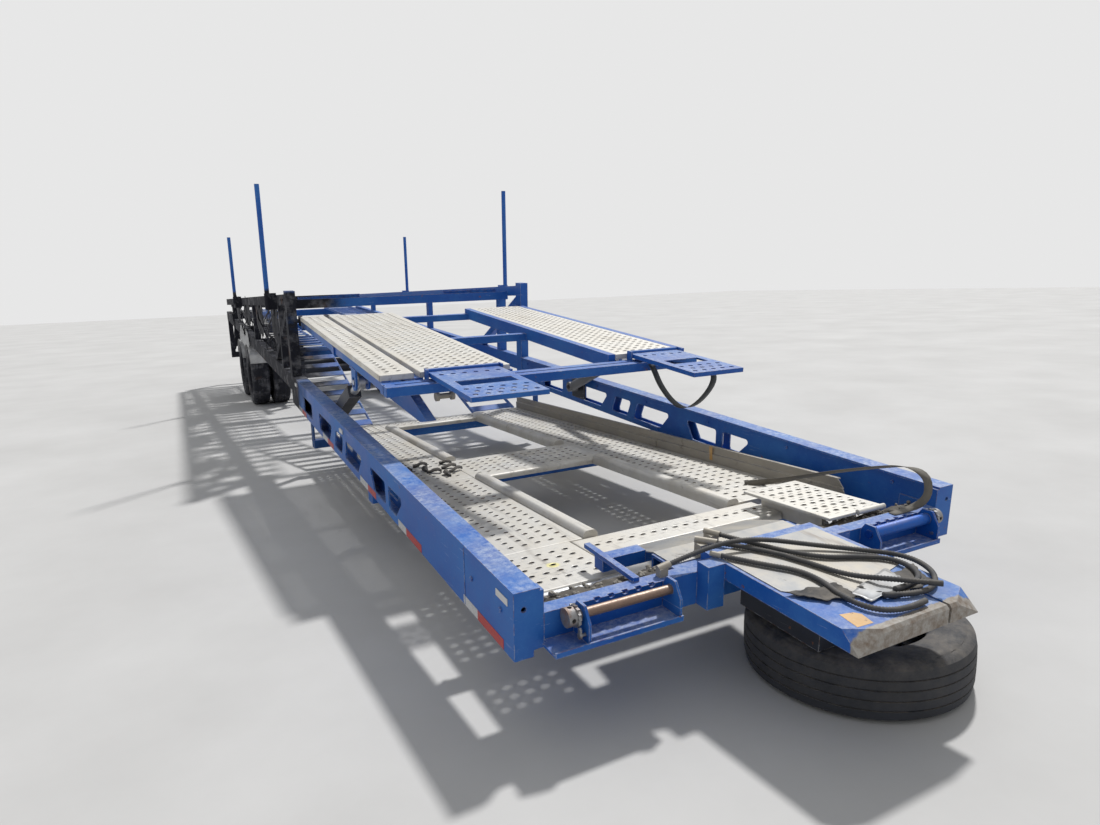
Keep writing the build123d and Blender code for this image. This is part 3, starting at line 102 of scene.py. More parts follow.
class Finish:
    """A node material: each call of add() makes one node and returns its first output."""

    def __init__(self, name, roughness=0.6, metallic=0.0, gloss=0.5, burns=1.0):
        self.material = bpy.data.materials.new(name)
        self.material.use_nodes = True
        self.tree = self.material.node_tree
        self.shader = self.tree.nodes["Principled BSDF"]
        self.shader.inputs["Roughness"].default_value = roughness
        self.shader.inputs["Metallic"].default_value = metallic
        self.shader.inputs["Specular IOR Level"].default_value = gloss
        self.burns = burns
        self.place = self.tree.nodes.new("ShaderNodeTexCoord").outputs["Object"]
        self.normal = self.tree.nodes.new("ShaderNodeNewGeometry").outputs["Normal"]

    def add(self, kind, inputs, output=0, **settings):
        node = self.tree.nodes.new("ShaderNode" + kind)
        for key, value in settings.items():
            setattr(node, key, value)
        for key, value in inputs.items():
            if isinstance(value, bpy.types.NodeSocket):
                self.tree.links.new(value, node.inputs[key])
            else:
                node.inputs[key].default_value = value
        return node.outputs[output]

    def noise(self, scale, detail=4.0, rough=0.6, place=None, distortion=0.0):
        return self.add("TexNoise", {"Vector": place or self.place, "Scale": scale, "Detail": detail,
                                     "Roughness": rough, "Distortion": distortion})

    def math(self, operation, a, b=0.0, clamp=False):
        return self.add("Math", {0: a, 1: b}, operation=operation, use_clamp=clamp)

    def ramp(self, value, low, high):
        """0 below low, 1 above high, straight between."""
        return self.add("MapRange", {"Value": value, "From Min": low, "From Max": high})

    def patches(self, low, high, *noise, **more):
        """Noise as patches: 0 where it is below low, 1 above high."""
        return self.ramp(self.noise(*noise, **more), low, high)

    def mix(self, share, a, b):
        """A colour between a and b, as share goes from 0 to 1."""
        colours = {key: (*value, 1.0) if isinstance(value, tuple) else value
                   for key, value in ((6, a), (7, b))}
        return self.add("Mix", {0: share, **colours}, output=2, data_type="RGBA")

    def over(self, colour, share, most, other):
        """The colour with another laid over it, by most where share is 1."""
        return self.mix(self.math("MULTIPLY", share, most), colour, other)

    def stretched(self, scale):
        return self.add("Mapping", {"Vector": self.place, "Scale": scale})

    def axis(self, vector, which):
        node = self.tree.nodes.new("ShaderNodeSeparateXYZ")
        self.tree.links.new(vector, node.inputs[0])
        return node.outputs[which]

    def edges(self, radius, strength=3.0):
        """1 along the edges, 0 on the flats, broken up by noise."""
        bevel = self.add("Bevel", {"Radius": radius}, samples=3)
        same = self.add("VectorMath", {0: bevel, 1: self.normal}, output=1, operation="DOT_PRODUCT")
        bare = self.math("MULTIPLY", self.math("SUBTRACT", 1.0, same), strength * 4)
        broken = self.patches(0.42, 0.62, 22.0, 5.0, 0.7)
        return self.math("MULTIPLY", bare, broken, clamp=True)

    def burnt(self):
        """1 where the fire was, behind the posts and on the left."""
        front, left, back, below = (self.ramp(self.axis(self.place, which), *reach)
                                    for which, reach in FIRE)
        patch = self.math("MULTIPLY", self.math("MULTIPLY", front, left), self.math("MULTIPLY", back, below))
        ragged = self.math("SUBTRACT", self.noise(1.7, 6.0, 0.65), 0.5)
        spread = self.math("ADD", patch, self.math("MULTIPLY", ragged, 0.8))
        charred = self.math("MULTIPLY", self.ramp(spread, 0.28, 0.62), self.ramp(patch, 0.0, 0.4),
                            clamp=True)
        return self.math("MULTIPLY", charred, self.burns)

    def finish(self, colour, rough=None, bump=None, bump_distance=0.001, bump_strength=0.5):
        """Soot and ash over the colour, then the shader's links."""
        burnt = self.burnt()
        ash = self.mix(self.patches(0.5, 0.66, 6.0, 6.0, 0.7), SOOT, ASH)
        rusted = self.mix(self.patches(0.62, 0.74, 3.1, 5.0, 0.6), ash, (0.09, 0.045, 0.028))
        self.tree.links.new(self.mix(burnt, colour, rusted), self.shader.inputs["Base Color"])
        if rough is not None:
            rough = self.add("Mix", {0: burnt, 2: rough, 3: 0.9})
            self.tree.links.new(rough, self.shader.inputs["Roughness"])
        if bump is not None:
            normal = self.add("Bump", {"Height": bump, "Distance": bump_distance, "Strength": bump_strength})
            self.tree.links.new(normal, self.shader.inputs["Normal"])
        return self.material

    def upward(self):
        return self.ramp(self.axis(self.normal, 2), 0.55, 0.95)


def paint(name, base, chalk, roughness=0.42, worn=1.0, fade_and_sunlight=0.3, bare_nose=False):
    """Sprayed paint: chalky in clouds, paler on top as chalked paint and as painted sunlight, chipped at its
    edges, scratched and dusty.
    """
    finish = Finish(name, roughness, gloss=0.32)
    clouds = finish.patches(0.40, 0.68, 2.3, 7.0, 0.62)
    fine = finish.patches(0.55, 0.75, 55.0, 3.0, 0.7)
    colour = finish.over(base, clouds, 0.45, chalk)
    colour = finish.over(colour, fine, 0.18, chalk)
    pale = tuple(0.42 + 0.42 * c for c in chalk)
    # Upward faces paler in patches: partly chalked paint, partly painted sunlight on the tops
    topside = finish.ramp(finish.axis(finish.normal, 2), 0.5, 0.9)
    mottle = finish.patches(0.40, 0.66, 34.0, 8.0, 0.78)
    patchy = finish.patches(0.34, 0.60, 2.9, 6.0, 0.7)
    bleached_and_sunlit = finish.math("MULTIPLY", topside, finish.math("MULTIPLY", mottle, patchy))
    colour = finish.over(colour, bleached_and_sunlit, fade_and_sunlight, pale)
    scuffs = finish.noise(1.0, 5.0, 0.75, finish.stretched((9.0, 2.2, 60.0)))
    colour = finish.over(colour, finish.ramp(scuffs, 0.63, 0.70), 0.5 * worn, pale)
    edge = finish.edges(0.006, 2.6 * worn)
    bare = finish.mix(finish.patches(0.45, 0.6, 30.0), (0.46, 0.47, 0.49), RUST)
    colour = finish.over(colour, edge, 0.85, bare)
    spots = finish.patches(0.655, 0.68, 13.0, 8.0, 0.72)
    colour = finish.over(colour, spots, 0.8 * worn, RUST)
    if bare_nose:
        # The nose has scraped along the ground, down to dirty steel
        front = finish.ramp(finish.axis(finish.place, 1), *SCRAPED_NOSE)
        ragged = finish.math("ADD", front, finish.math("SUBTRACT", finish.noise(16.0, 7.0, 0.7), 0.5))
        scraped = finish.ramp(ragged, 0.45, 0.60)
        dirty = finish.mix(finish.patches(0.4, 0.65, 24.0, 6.0, 0.7), (0.34, 0.32, 0.29), (0.17, 0.125, 0.09))
        colour = finish.mix(scraped, colour, dirty)
    dust = finish.math("MULTIPLY", finish.upward(), finish.patches(0.38, 0.72, 4.0, 8.0, 0.7))
    colour = finish.over(colour, dust, 0.30, DUST)
    rough = finish.ramp(finish.math("ADD", dust, clouds), -1.6, 2.6)
    bump = finish.math("ADD", finish.noise(260.0, 2.0), finish.math("MULTIPLY", edge, -1.5))
    return finish.finish(colour, rough, bump, 0.0006, 0.35)


def deck_metal(name, base=(0.63, 0.61, 0.565), dirt=1.0):
    """Rolled aluminium plank: brushed along, stained brown and grey, rubber marks in the wheel path."""
    finish = Finish(name, 0.5, 0.3, burns=0.1)
    brushed = finish.noise(1.0, 3.0, 0.5, finish.stretched((180.0, 6.0, 180.0)))
    clouds = finish.patches(0.36, 0.72, 3.4, 8.0, 0.66)
    colour = finish.over(base, clouds, 0.62 * dirt, (0.43, 0.385, 0.31))
    streaks = finish.noise(1.0, 6.0, 0.7, finish.stretched((16.0, 1.6, 16.0)))
    colour = finish.over(colour, finish.ramp(streaks, 0.56, 0.72), 0.55 * dirt, (0.20, 0.175, 0.15))
    grime = finish.patches(0.60, 0.72, 9.0, 9.0, 0.75, distortion=0.6)
    colour = finish.over(colour, grime, 0.7 * dirt, (0.09, 0.08, 0.07))
    edge = finish.edges(0.004, 2.0)
    colour = finish.over(colour, edge, 0.5, (0.72, 0.72, 0.71))
    away = finish.add("VectorMath", {0: finish.place, 1: YELLOW_AT}, output=1, operation="DISTANCE")
    away = finish.math("ADD", away, finish.math("MULTIPLY", finish.noise(40.0), 0.02))
    colour = finish.over(colour, finish.ramp(away, 0.047, 0.036), 0.8, (0.72, 0.66, 0.27))
    rough = finish.ramp(finish.math("ADD", brushed, clouds), -0.9, 2.6)
    return finish.finish(colour, rough, finish.math("ADD", brushed, grime), 0.0008, 0.35)


def steel(name, base, rusty, roughness=0.5, metallic=0.8, shafts=False):
    """Bare steel going brown; with shafts, the near winch shaft is rusty and the far one painted."""
    finish = Finish(name, roughness, metallic)
    rust = finish.patches(0.62 - 0.3 * rusty, 0.74 - 0.2 * rusty, 7.0, 8.0, 0.72)
    colour = finish.over(base, rust, 0.9, RUST)
    if shafts:
        across = finish.axis(finish.place, 0)
        brown = finish.mix(finish.patches(0.35, 0.65, 12.0, 6.0, 0.7), (0.26, 0.175, 0.135),
                           (0.18, 0.12, 0.09))
        for side, look in ((-1, brown), (1, BLUE)):
            shaft = finish.math("MULTIPLY", *(finish.ramp(across, side * low, side * high)
                                              for low, high in (SHAFT_OUTER, SHAFT_INNER)))
            colour = finish.mix(shaft, colour, look)
    fine = finish.patches(0.5, 0.8, 70.0, 3.0, 0.7)
    colour = finish.over(colour, fine, 0.35, (0.09, 0.06, 0.045))
    dust = finish.math("MULTIPLY", finish.upward(), finish.patches(0.4, 0.7, 5.0, 7.0))
    colour = finish.over(colour, dust, 0.35, DUST)
    return finish.finish(colour, finish.ramp(rust, -1.6, 1.9), finish.math("ADD", rust, fine), 0.0012, 0.5)


def rubber(name, base=(0.026, 0.027, 0.03), dusty=0.55, roughness=0.8, burns=1.0):
    """Weathered rubber with dust over its upward faces."""
    finish = Finish(name, roughness, burns=burns)
    clouds = finish.patches(0.4, 0.7, 5.0, 8.0, 0.7)
    colour = finish.over(base, clouds, 0.5, tuple(2.4 * c for c in base))
    dust = finish.math("MULTIPLY", finish.ramp(finish.axis(finish.normal, 2), -0.2, 0.95),
                       finish.patches(0.36, 0.7, 8.0, 9.0, 0.74))
    colour = finish.over(colour, dust, dusty, (0.30, 0.26, 0.21))
    fine = finish.noise(190.0, 3.0, 0.6)
    return finish.finish(colour, finish.ramp(clouds, -3.6, 1.2), fine, 0.0008, 0.5)


def webbing(name, base):
    """Woven polyester strap: diagonal weave, fluff and grime."""
    finish = Finish(name, 0.85)
    weave = finish.add("TexWave", {"Vector": finish.place, "Scale": 190.0, "Distortion": 0.6, "Detail": 1.0},
                       output=1, bands_direction="DIAGONAL")
    colour = finish.over(base, weave, 0.45, tuple(0.45 * c for c in base))
    grime = finish.patches(0.45, 0.7, 24.0, 7.0, 0.7)
    colour = finish.over(colour, grime, 0.6, (0.10, 0.09, 0.075))
    finish.shader.inputs["Sheen Weight"].default_value = 0.3
    return finish.finish(colour, None, weave, 0.0007, 0.7)


def reflective(name, base):
    """Prismatic tape: a fine honeycomb under a scuffed clear face."""
    finish = Finish(name, 0.35)
    cells = finish.add("TexVoronoi", {"Vector": finish.place, "Scale": 260.0}, feature="DISTANCE_TO_EDGE")
    lines = finish.ramp(cells, 0.03, 0.12)
    colour = finish.mix(lines, tuple(0.55 * c for c in base), base)
    scuffs = finish.patches(0.55, 0.72, 18.0, 7.0, 0.72)
    colour = finish.over(colour, scuffs, 0.5, (0.30, 0.28, 0.27))
    return finish.finish(colour, finish.ramp(scuffs, -1.0, 1.8), lines, 0.0003, 0.3)


FINISHES = {
    "blue_paint": paint("blue_paint", BLUE, CHALK),
    "deck_aluminium": deck_metal("deck_aluminium"),
    "tyre": rubber("tyre", dusty=0.5),
    "hose_rubber": rubber("hose_rubber", (0.042, 0.044, 0.049), 0.45, 0.5),
    "rim_steel": paint("rim_steel", (0.5, 0.5, 0.49), (0.62, 0.61, 0.58), 0.5),
    "dark_steel": paint("dark_steel", (0.022, 0.025, 0.035), (0.06, 0.065, 0.08), 0.5),
    "grey_steel": paint("grey_steel", (0.16, 0.165, 0.175), (0.25, 0.25, 0.26), 0.4),
    "chrome_rod": steel("chrome_rod", (0.62, 0.63, 0.65), 0.05, 0.2, 1.0),
    "bare_steel": steel("bare_steel", (0.27, 0.27, 0.275), 0.2, 0.45, 0.6, shafts=True),
    "fender_plastic": rubber("fender_plastic", (0.10, 0.10, 0.105), 0.5, 0.65),
}
EXTRA = {
    "strap_black": webbing("strap_black", (0.05, 0.055, 0.05)),
    "strap_grey": webbing("strap_grey", (0.19, 0.17, 0.135)),
    "tape_red": reflective("tape_red", (0.52, 0.025, 0.02)),
    "tape_white": reflective("tape_white", (0.66, 0.66, 0.66)),
    "worn_yellow": paint("worn_yellow", (0.62, 0.33, 0.07), (0.70, 0.62, 0.52), 0.6, 1.4),
    # Painted shade: a dark finish for the walls of the planks' holes, so that the holes read dark
    "painted_hole_shade": steel("painted_hole_shade", (0.085, 0.08, 0.072), 0.4, 0.8, 0.2),
    "pale_metal": deck_metal("pale_metal", (0.66, 0.67, 0.68), 0.5),
    "galvanised": deck_metal("galvanised", (0.30, 0.275, 0.235), 1.2),
    # The rails and the nose get much paler tops: chalked paint and painted sunlight
    "rail_paint": paint("rail_paint", BLUE, CHALK, fade_and_sunlight=0.95),
    "nose_paint": paint("nose_paint", BLUE, CHALK, fade_and_sunlight=0.75, worn=1.5, bare_nose=True),
    "melted_plastic": rubber("melted_plastic", (0.42, 0.42, 0.42), 0.35, 0.7, 0.12),
    "burnt_metal": rubber("burnt_metal", (0.016, 0.017, 0.022), 0.35, 0.6),
    "dirt": rubber("dirt", (0.030, 0.026, 0.022), 0.45, 0.95),
    "stone": rubber("stone", (0.20, 0.185, 0.16), 0.6, 0.9),
    "dirty_sheet": deck_metal("dirty_sheet", (0.25, 0.255, 0.26), 1.9),
    "bent_sheet": deck_metal("bent_sheet", (0.24, 0.25, 0.265), 1.0),
    "torn_rubber": rubber("torn_rubber", (0.022, 0.023, 0.026), 0.6, 0.75),
}
# Nodes whose finish differs from their slot's usual one
NODE_FINISH = {
    "tongue_cover": "dirty_sheet",
    "front_cover_plate": "dirty_sheet",
    "track_nose": "pale_metal",
    "kerb_plates": "galvanised",
    "hose_couplings": "galvanised",
    "mid_winch": "galvanised",
    "side_rail_left": "rail_paint",
    "side_rail_right": "rail_paint",
    "mid_flap_left": "rail_paint",
    "mid_flap_right": "rail_paint",
    "front_beam": "nose_paint",
    "tongue": "nose_paint",
    "fender_left": "melted_plastic",
}


class Shape:
    """Points and faces of one piece, in metres."""

    def __init__(self):
        self.points = []
        self.faces = []
        self.marked = set()

    def add(self, points, faces):
        base = len(self.points)
        self.points += [tuple(p) for p in points]
        self.faces += [tuple(base + i for i in face) for face in faces]

    def box(self, x, y, z, matrix=None):
        corners = [Vector((a, b, c)) for a in sorted(x) for b in sorted(y) for c in sorted(z)]
        if matrix is not None:
            corners = [matrix @ corner for corner in corners]
        self.add(corners, [(0, 1, 3, 2), (4, 6, 7, 5), (0, 4, 5, 1),
                           (2, 3, 7, 6), (0, 2, 6, 4), (1, 5, 7, 3)])

    def loops(self, rings, closed=True, caps=False):
        """Quads between rings of the same number of points."""
        count = len(rings[0])
        base = len(self.points)
        for ring in rings:
            self.points += [tuple(p) for p in ring]
        steps = count if closed else count - 1
        for row in range(len(rings) - 1):
            for i in range(steps):
                a = base + row * count + i
                b = base + row * count + (i + 1) % count
                self.faces.append((a, b, b + count, a + count))
        if caps:
            self.faces.append(tuple(base + i for i in reversed(range(count))))
            last = base + (len(rings) - 1) * count
            self.faces.append(tuple(last + i for i in range(count)))

    def lathe(self, profile, segments, matrix, wobble=None):
        """A profile of (along, radius) points turned about the matrix's Z; wobble alters a radius."""
        rings = []
        for row, (along, radius) in enumerate(profile):
            ring = []
            for i in range(segments):
                r = radius if wobble is None else wobble(row, i, radius)
                angle = 2 * pi * i / segments
                ring.append(matrix @ Vector((r * cos(angle), r * sin(angle), along)))
            rings.append(ring)
        self.loops(rings)

    def hexagon(self, matrix, radius, height, sides=6):
        """A nut or a bolt head standing on the matrix's XY plane, with a chamfered top."""
        rings = []
        for along, r in ((0, radius), (height * 0.8, radius), (height, radius * 0.82)):
            rings.append([matrix @ Vector((r * cos(2 * pi * i / sides), r * sin(2 * pi * i / sides), along))
                          for i in range(sides)])
        self.loops(rings, caps=True)

    def ribbon(self, path, across, width):
        """A strip along a path, as wide as width, near the direction across."""
        rows = []
        for i, point in enumerate(path):
            along = (path[min(i + 1, len(path) - 1)] - path[max(i - 1, 0)]).normalized()
            half = (across - along * across.dot(along)).normalized() * (width / 2)
            rows.append([point - half, point.copy(), point + half])
        self.loops(rows, closed=False)

    def make(self, name, body, slot, material, replaces=(), smooth=False, bevel=0.0, thick=0.0, angle=35,
             second=None):
        """Makes the object; faces that were marked take the second material."""
        mesh = bpy.data.meshes.new(name)
        mesh.from_pydata(self.points, [], self.faces)
        mesh.materials.append(material)
        if second is not None:
            mesh.materials.append(second)
            for face in self.marked:
                mesh.polygons[face].material_index = 1
        mesh.validate()
        piece = bpy.data.objects.new(name, mesh)
        bpy.context.scene.collection.objects.link(piece)
        if smooth:
            mesh.shade_smooth()
            mesh.set_sharp_from_angle(angle=radians(angle))
        if thick:
            solid = piece.modifiers.new("thick", "SOLIDIFY")
            solid.thickness = thick
            solid.offset = 0
        if bevel:
            rounding = piece.modifiers.new("bevel", "BEVEL")
            rounding.width = bevel
            rounding.segments = 2
            rounding.limit_method = "ANGLE"
        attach(piece, body)
        if replaces:
            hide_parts(*replaces)
        return piece


def dress_solids():
    """Each solid gets its slot's finish, or its own."""
    for part in frame["record"]["subparts"]:
        piece = frame["nodes"].get(part["node"])
        if piece is not None:
            piece.data.materials.clear()
            special = NODE_FINISH.get(part["node"])
            piece.data.materials.append(EXTRA[special] if special else FINISHES[part["material_slot"]])


dress_solids()
add_camera()

# Hoses: the routes of part.py in metres, their radius, and the pitch of their ribs
HOSES = {
    "hose_long": ((-0.544, 0.040, 0.546), (-0.330, 0.025, 0.594), (-0.120, -0.015, 0.598),
                  (0.080, -0.140, 0.574), (0.240, -0.265, 0.564), (0.375, -0.400, 0.564),
                  (0.350, -0.545, 0.564), (0.226, -0.650, 0.564), (0.090, -0.655, 0.564),
                  (-0.020, -0.600, 0.564)),
    "hose_middle": ((-0.248, 0.085, 0.564), (-0.110, -0.090, 0.564), (-0.050, -0.250, 0.564),
                    (-0.005, -0.420, 0.564), (0.090, -0.570, 0.590), (0.200, -0.690, 0.598)),
    "hose_right": ((-0.175, 0.150, 0.564), (-0.095, -0.040, 0.564), (0.030, -0.245, 0.564),
                   (0.175, -0.310, 0.564), (0.300, -0.400, 0.564), (0.285, -0.525, 0.564),
                   (0.190, -0.598, 0.564), (0.060, -0.590, 0.564)),
    "hose_left": ((-0.322, -0.030, 0.564), (-0.245, -0.160, 0.564), (-0.110, -0.330, 0.564),
                  (-0.185, -0.590, 0.564), (-0.085, -0.725, 0.564), (0.080, -0.705, 0.564)),
}
HOSE_RADIUS = 0.012
RIB_PITCH = 0.012
RIB_VALLEY = 0.76          # of the radius
CUFF_STEPS = 8             # half pitches at the free end without ribs
HOSE_SIDES = 12
SAME = 1e-9                # two lengths closer than this are one


def smooth_line(name, route):
    """Points of the smooth NURBS line with the route's points as its control points, in world metres."""
    curve = bpy.data.curves.new(name + "_line", "CURVE")
    curve.dimensions = "3D"
    spline = curve.splines.new("NURBS")
    spline.points.add(len(route) - 1)
    for point, place in zip(spline.points, route):
        point.co = (*(PARK @ Vector(place)), 1)
    spline.order_u = 3
    spline.use_endpoint_u = True
    spline.resolution_u = 24
    holder = bpy.data.objects.new(name + "_line", curve)
    mesh = bpy.data.meshes.new_from_object(holder)
    line = [vertex.co.copy() for vertex in mesh.vertices]
    bpy.data.objects.remove(holder)
    bpy.data.curves.remove(curve)
    bpy.data.meshes.remove(mesh)
    return line


def line_length(line):
    return sum((b - a).length for a, b in zip(line, line[1:]))


def evenly(line, pitch):
    """The line again, at even steps, and its length."""
    total = line_length(line)
    count = max(2, round(total / pitch))
    step = total / count
    out = [line[0].copy()]
    gone = 0.0
    for a, b in zip(line, line[1:]):
        length = (b - a).length
        while len(out) <= count and length > 0 and gone + length >= len(out) * step - SAME:
            out.append(a.lerp(b, min(1.0, (len(out) * step - gone) / length)))
        gone += length
    if len(out) <= count:
        out.append(line[-1].copy())
    return out, total


def add_hose(name, route):
    """A ribbed hose with a plain cuff at its free end."""
    line, total = evenly(smooth_line(name, route), RIB_PITCH / 2)
    hose = Shape()
    rings = []
    side = None
    for i, point in enumerate(line):
        along = (line[min(i + 1, len(line) - 1)] - line[max(i - 1, 0)]).normalized()
        if side is None:
            side = along.cross(Vector((0, 0, 1))).normalized()
        side = (side - along * side.dot(along)).normalized()
        lift = along.cross(side)
        plain = i % 2 or len(line) - 1 - i < CUFF_STEPS
        radius = HOSE_RADIUS * (1.0 if plain else RIB_VALLEY)
        turns = [2 * pi * k / HOSE_SIDES for k in range(HOSE_SIDES)]
        rings.append([point + radius * (cos(turn) * side + sin(turn) * lift) for turn in turns])
    hose.loops(rings, caps=True)
    piece = hose.make(name + "_ribbed", "chassis", "hose_rubber", FINISHES["hose_rubber"], replaces=(name,))
    piece.data.shade_smooth()


for hose_name, route in HOSES.items():
    add_hose(hose_name, route)

# Perforated planks: a straight grid of round holes with raised lips, longer across than along
HOLE_ACROSS = 0.0150
HOLE_ALONG = 0.0105
HOLE_LIP = 0.0035
HOLE_FLARE = 0.0060        # how far the lip's foot reaches out
HOLE_CREST = 0.0022
SHEET = 0.005
ROW_PITCH = 0.077
COLUMN_PITCH = 0.071
HOLE_SIDES = 12
FOLD_STEPS = 4
FOLD_END = 0.4             # of the radius: how far a folded edge runs into the corner
RIB_HALF = 0.01


def perforated_top(shape, matrix, x, y, border=0.03):
    """A sheet with rows of raised holes; its top is at z = 0 of the matrix."""
    columns = max(1, round((x[1] - x[0] - 2 * border) / COLUMN_PITCH))
    wide = (x[1] - x[0] - 2 * border) / columns
    rows = int((y[1] - y[0] - 2 * border) / ROW_PITCH)
    first = (y[1] - y[0] - rows * ROW_PITCH) / 2 + y[0]
    last = first + rows * ROW_PITCH
    for low, high in ((x[0], x[0] + border), (x[1] - border, x[1])):
        flat_cell(shape, matrix, (low, high), y)
    for column in range(columns):
        low = x[0] + border + column * wide
        high = low + wide
        for reach in ((y[0], first), (last, y[1])):
            flat_cell(shape, matrix, (low, high), reach)
        for row in range(rows):
            middle = Vector(((low + high) / 2, first + (row + 0.5) * ROW_PITCH, 0))
            holed_cell(shape, matrix, middle, wide / 2, ROW_PITCH / 2)


def flat_cell(shape, matrix, x, y):
    """A plain part of the sheet."""
    corners = ((x[0], y[0], 0), (x[1], y[0], 0), (x[1], y[1], 0), (x[0], y[1], 0))
    shape.add([matrix @ Vector(corner) for corner in corners], [(0, 1, 2, 3)])


def holed_cell(shape, matrix, middle, half_x, half_y):
    """A part of the sheet with one hole in its middle."""
    angles = [2 * pi * (k + 0.5) / HOLE_SIDES for k in range(HOLE_SIDES)]
    rim = [edge_point(angle, half_x, half_y) for angle in angles]
    rings = [[matrix @ (middle + point) for point in rim]]
    for grow, z in ((HOLE_FLARE, 0.0), (HOLE_CREST, HOLE_LIP), (0.0, HOLE_LIP * 0.8), (0.0, -SHEET)):
        rings.append([matrix @ (middle + Vector(((HOLE_ACROSS + grow) * cos(angle),
                                                 (HOLE_ALONG + grow) * sin(angle), z))) for angle in angles])
    shape.loops(rings)
    # The hole's own wall is the last band of faces; these take the dark finish that paints shade into the
    # hole
    shape.marked.update(range(len(shape.faces) - HOLE_SIDES, len(shape.faces)))
    # The four triangles between the cell's corners and the ring of rays
    for sx, sy in ((1, 1), (-1, 1), (-1, -1), (1, -1)):
        near = [point for point in rim if point.x * sx > 0 and point.y * sy > 0]
        across = [point for point in near if abs(abs(point.x) - half_x) < SAME]
        along = [point for point in near if abs(abs(point.y) - half_y) < SAME]
        if across and along:
            three = [middle + max(across, key=lambda point: abs(point.y)),
                     middle + Vector((sx * half_x, sy * half_y, 0)),
                     middle + max(along, key=lambda point: abs(point.x))]
            if sx * sy < 0:
                three.reverse()
            shape.add([matrix @ point for point in three], [(0, 1, 2)])


def edge_point(angle, half_x, half_y):
    """Where a ray from a cell's middle meets its edge."""
    c, s = cos(angle), sin(angle)
    reach = min(half_x / abs(c), half_y / abs(s))
    return Vector((c * reach, s * reach, 0))


def rolled_edge(shape, matrix, start, end, out, depth, radius):
    """A rounded edge of folded sheet, from start to end, turned down on the side of out."""
    rows = []
    for k in range(FOLD_STEPS + 1):
        angle = pi / 2 * k / FOLD_STEPS
        rows.append(out * (-radius + radius * sin(angle)) + Vector((0, 0, -radius + radius * cos(angle))))
    rows.append(Vector((0, 0, -depth)))
    rows.append(Vector((0, 0, -depth)) - out * SHEET)
    rows.append(out * -SHEET + Vector((0, 0, -radius)))
    shape.loops([[matrix @ (start + row), matrix @ (end + row)] for row in rows], closed=False)


def plank(shape, matrix, x, y, depth, radius=0.006, end_radius=None, ribs=(), border=0.03):
    """A folded, perforated plank with rolled edges and ribs under it."""
    end_radius = end_radius or radius
    perforated_top(shape, matrix, (x[0] + radius, x[1] - radius), (y[0] + end_radius, y[1] - end_radius),
                   border)
    front, rear = y[0] + end_radius * FOLD_END, y[1] - end_radius * FOLD_END
    for edge, out in ((x[0], -1), (x[1], 1)):
        rolled_edge(shape, matrix, Vector((edge, front, 0)), Vector((edge, rear, 0)), Vector((out, 0, 0)),
                    depth, radius)
    left, right = x[0] + radius * FOLD_END, x[1] - radius * FOLD_END
    for edge, out in ((y[0], -1), (y[1], 1)):
        rolled_edge(shape, matrix, Vector((left, edge, 0)), Vector((right, edge, 0)), Vector((0, out, 0)),
                    depth, end_radius)
    for rib in ribs:
        shape.box((x[0] + SHEET, x[1] - SHEET), (rib - RIB_HALF, rib + RIB_HALF), (-depth, -SHEET), matrix)


def make_punched(shape, name, node_name, body="chassis"):
    """Makes the piece of planks that stands for a node; the walls of its holes get the painted-shade finish.
    """
    shape.make(name, body, "deck_aluminium", FINISHES["deck_aluminium"], replaces=(node_name,),
               second=EXTRA["painted_hole_shade"])


TRACK_RIBS = (1.28, 1.92, 2.56, 3.20, 3.84, 4.48, 4.80)
TRACK_DEPTH = 0.040
TRACK_X = (0.530, 1.062)
LEFT_X = (-TRACK_X[1], -TRACK_X[0])
TRACK_REAR = 5.020
RAISED_BY = 0.092
STAND_HALF = 0.015
MID_RIBS = (0.7, 1.4, 2.1)
MID_LENGTH = 2.87
MID_DEPTH = 0.038

track = Shape()
plank(track, LOWER, (-1.062, -0.615), (0.300, 0.790), TRACK_DEPTH, ribs=(0.64,))
plank(track, LOWER, LEFT_X, (0.791, 2.326), TRACK_DEPTH, ribs=TRACK_RIBS[:2])
plank(track, LOWER, LEFT_X, (2.334, TRACK_REAR), TRACK_DEPTH, ribs=TRACK_RIBS[2:])
make_punched(track, "left_track", "lower_track_left")
track = Shape()
plank(track, LOWER, TRACK_X, (0.810, TRACK_REAR), TRACK_DEPTH, ribs=TRACK_RIBS)
make_punched(track, "right_track", "lower_track_right")
crossing = Shape()
for front, rear, half in ((0.530, 0.790, 0.6097), (2.310, 2.930, 0.5297), (4.700, 5.000, 0.5297)):
    plank(crossing, LOWER, (-half, half), (front, rear), TRACK_DEPTH, end_radius=0.020, border=0.045)
make_punched(crossing, "cross_planks", "lower_planks")
raised = Shape()
plank(raised, LOWER @ Matrix.Translation((0, 0, RAISED_BY)), (0.507, 0.915), (0.112, 0.730), 0.014)
for x in (0.632, 0.855):
    raised.box((x - STAND_HALF, x + STAND_HALF), (0.256, 0.700), (-0.040, 0.079), LOWER)
tube_end = LOWER @ Matrix.Translation((0.805, 0.108, 0.090)) @ Matrix.Rotation(radians(90), 4, "Y")
raised.lathe(((-0.1, 0.0005), (-0.1, 0.014), (0.1, 0.014), (0.1, 0.0005)), 20, tube_end)
make_punched(raised, "raised_track", "raised_plate")
for node_name, x in (("mid_plank_left_outer", (-1.190, -0.965)), ("mid_plank_left_inner", (-0.925, -0.290)),
                     ("mid_plank_right", (0.560, 1.130))):
    upper = Shape()
    plank(upper, MID, x, (0, MID_LENGTH), MID_DEPTH, ribs=MID_RIBS)
    make_punched(upper, node_name + "_punched", node_name, "mid_deck")

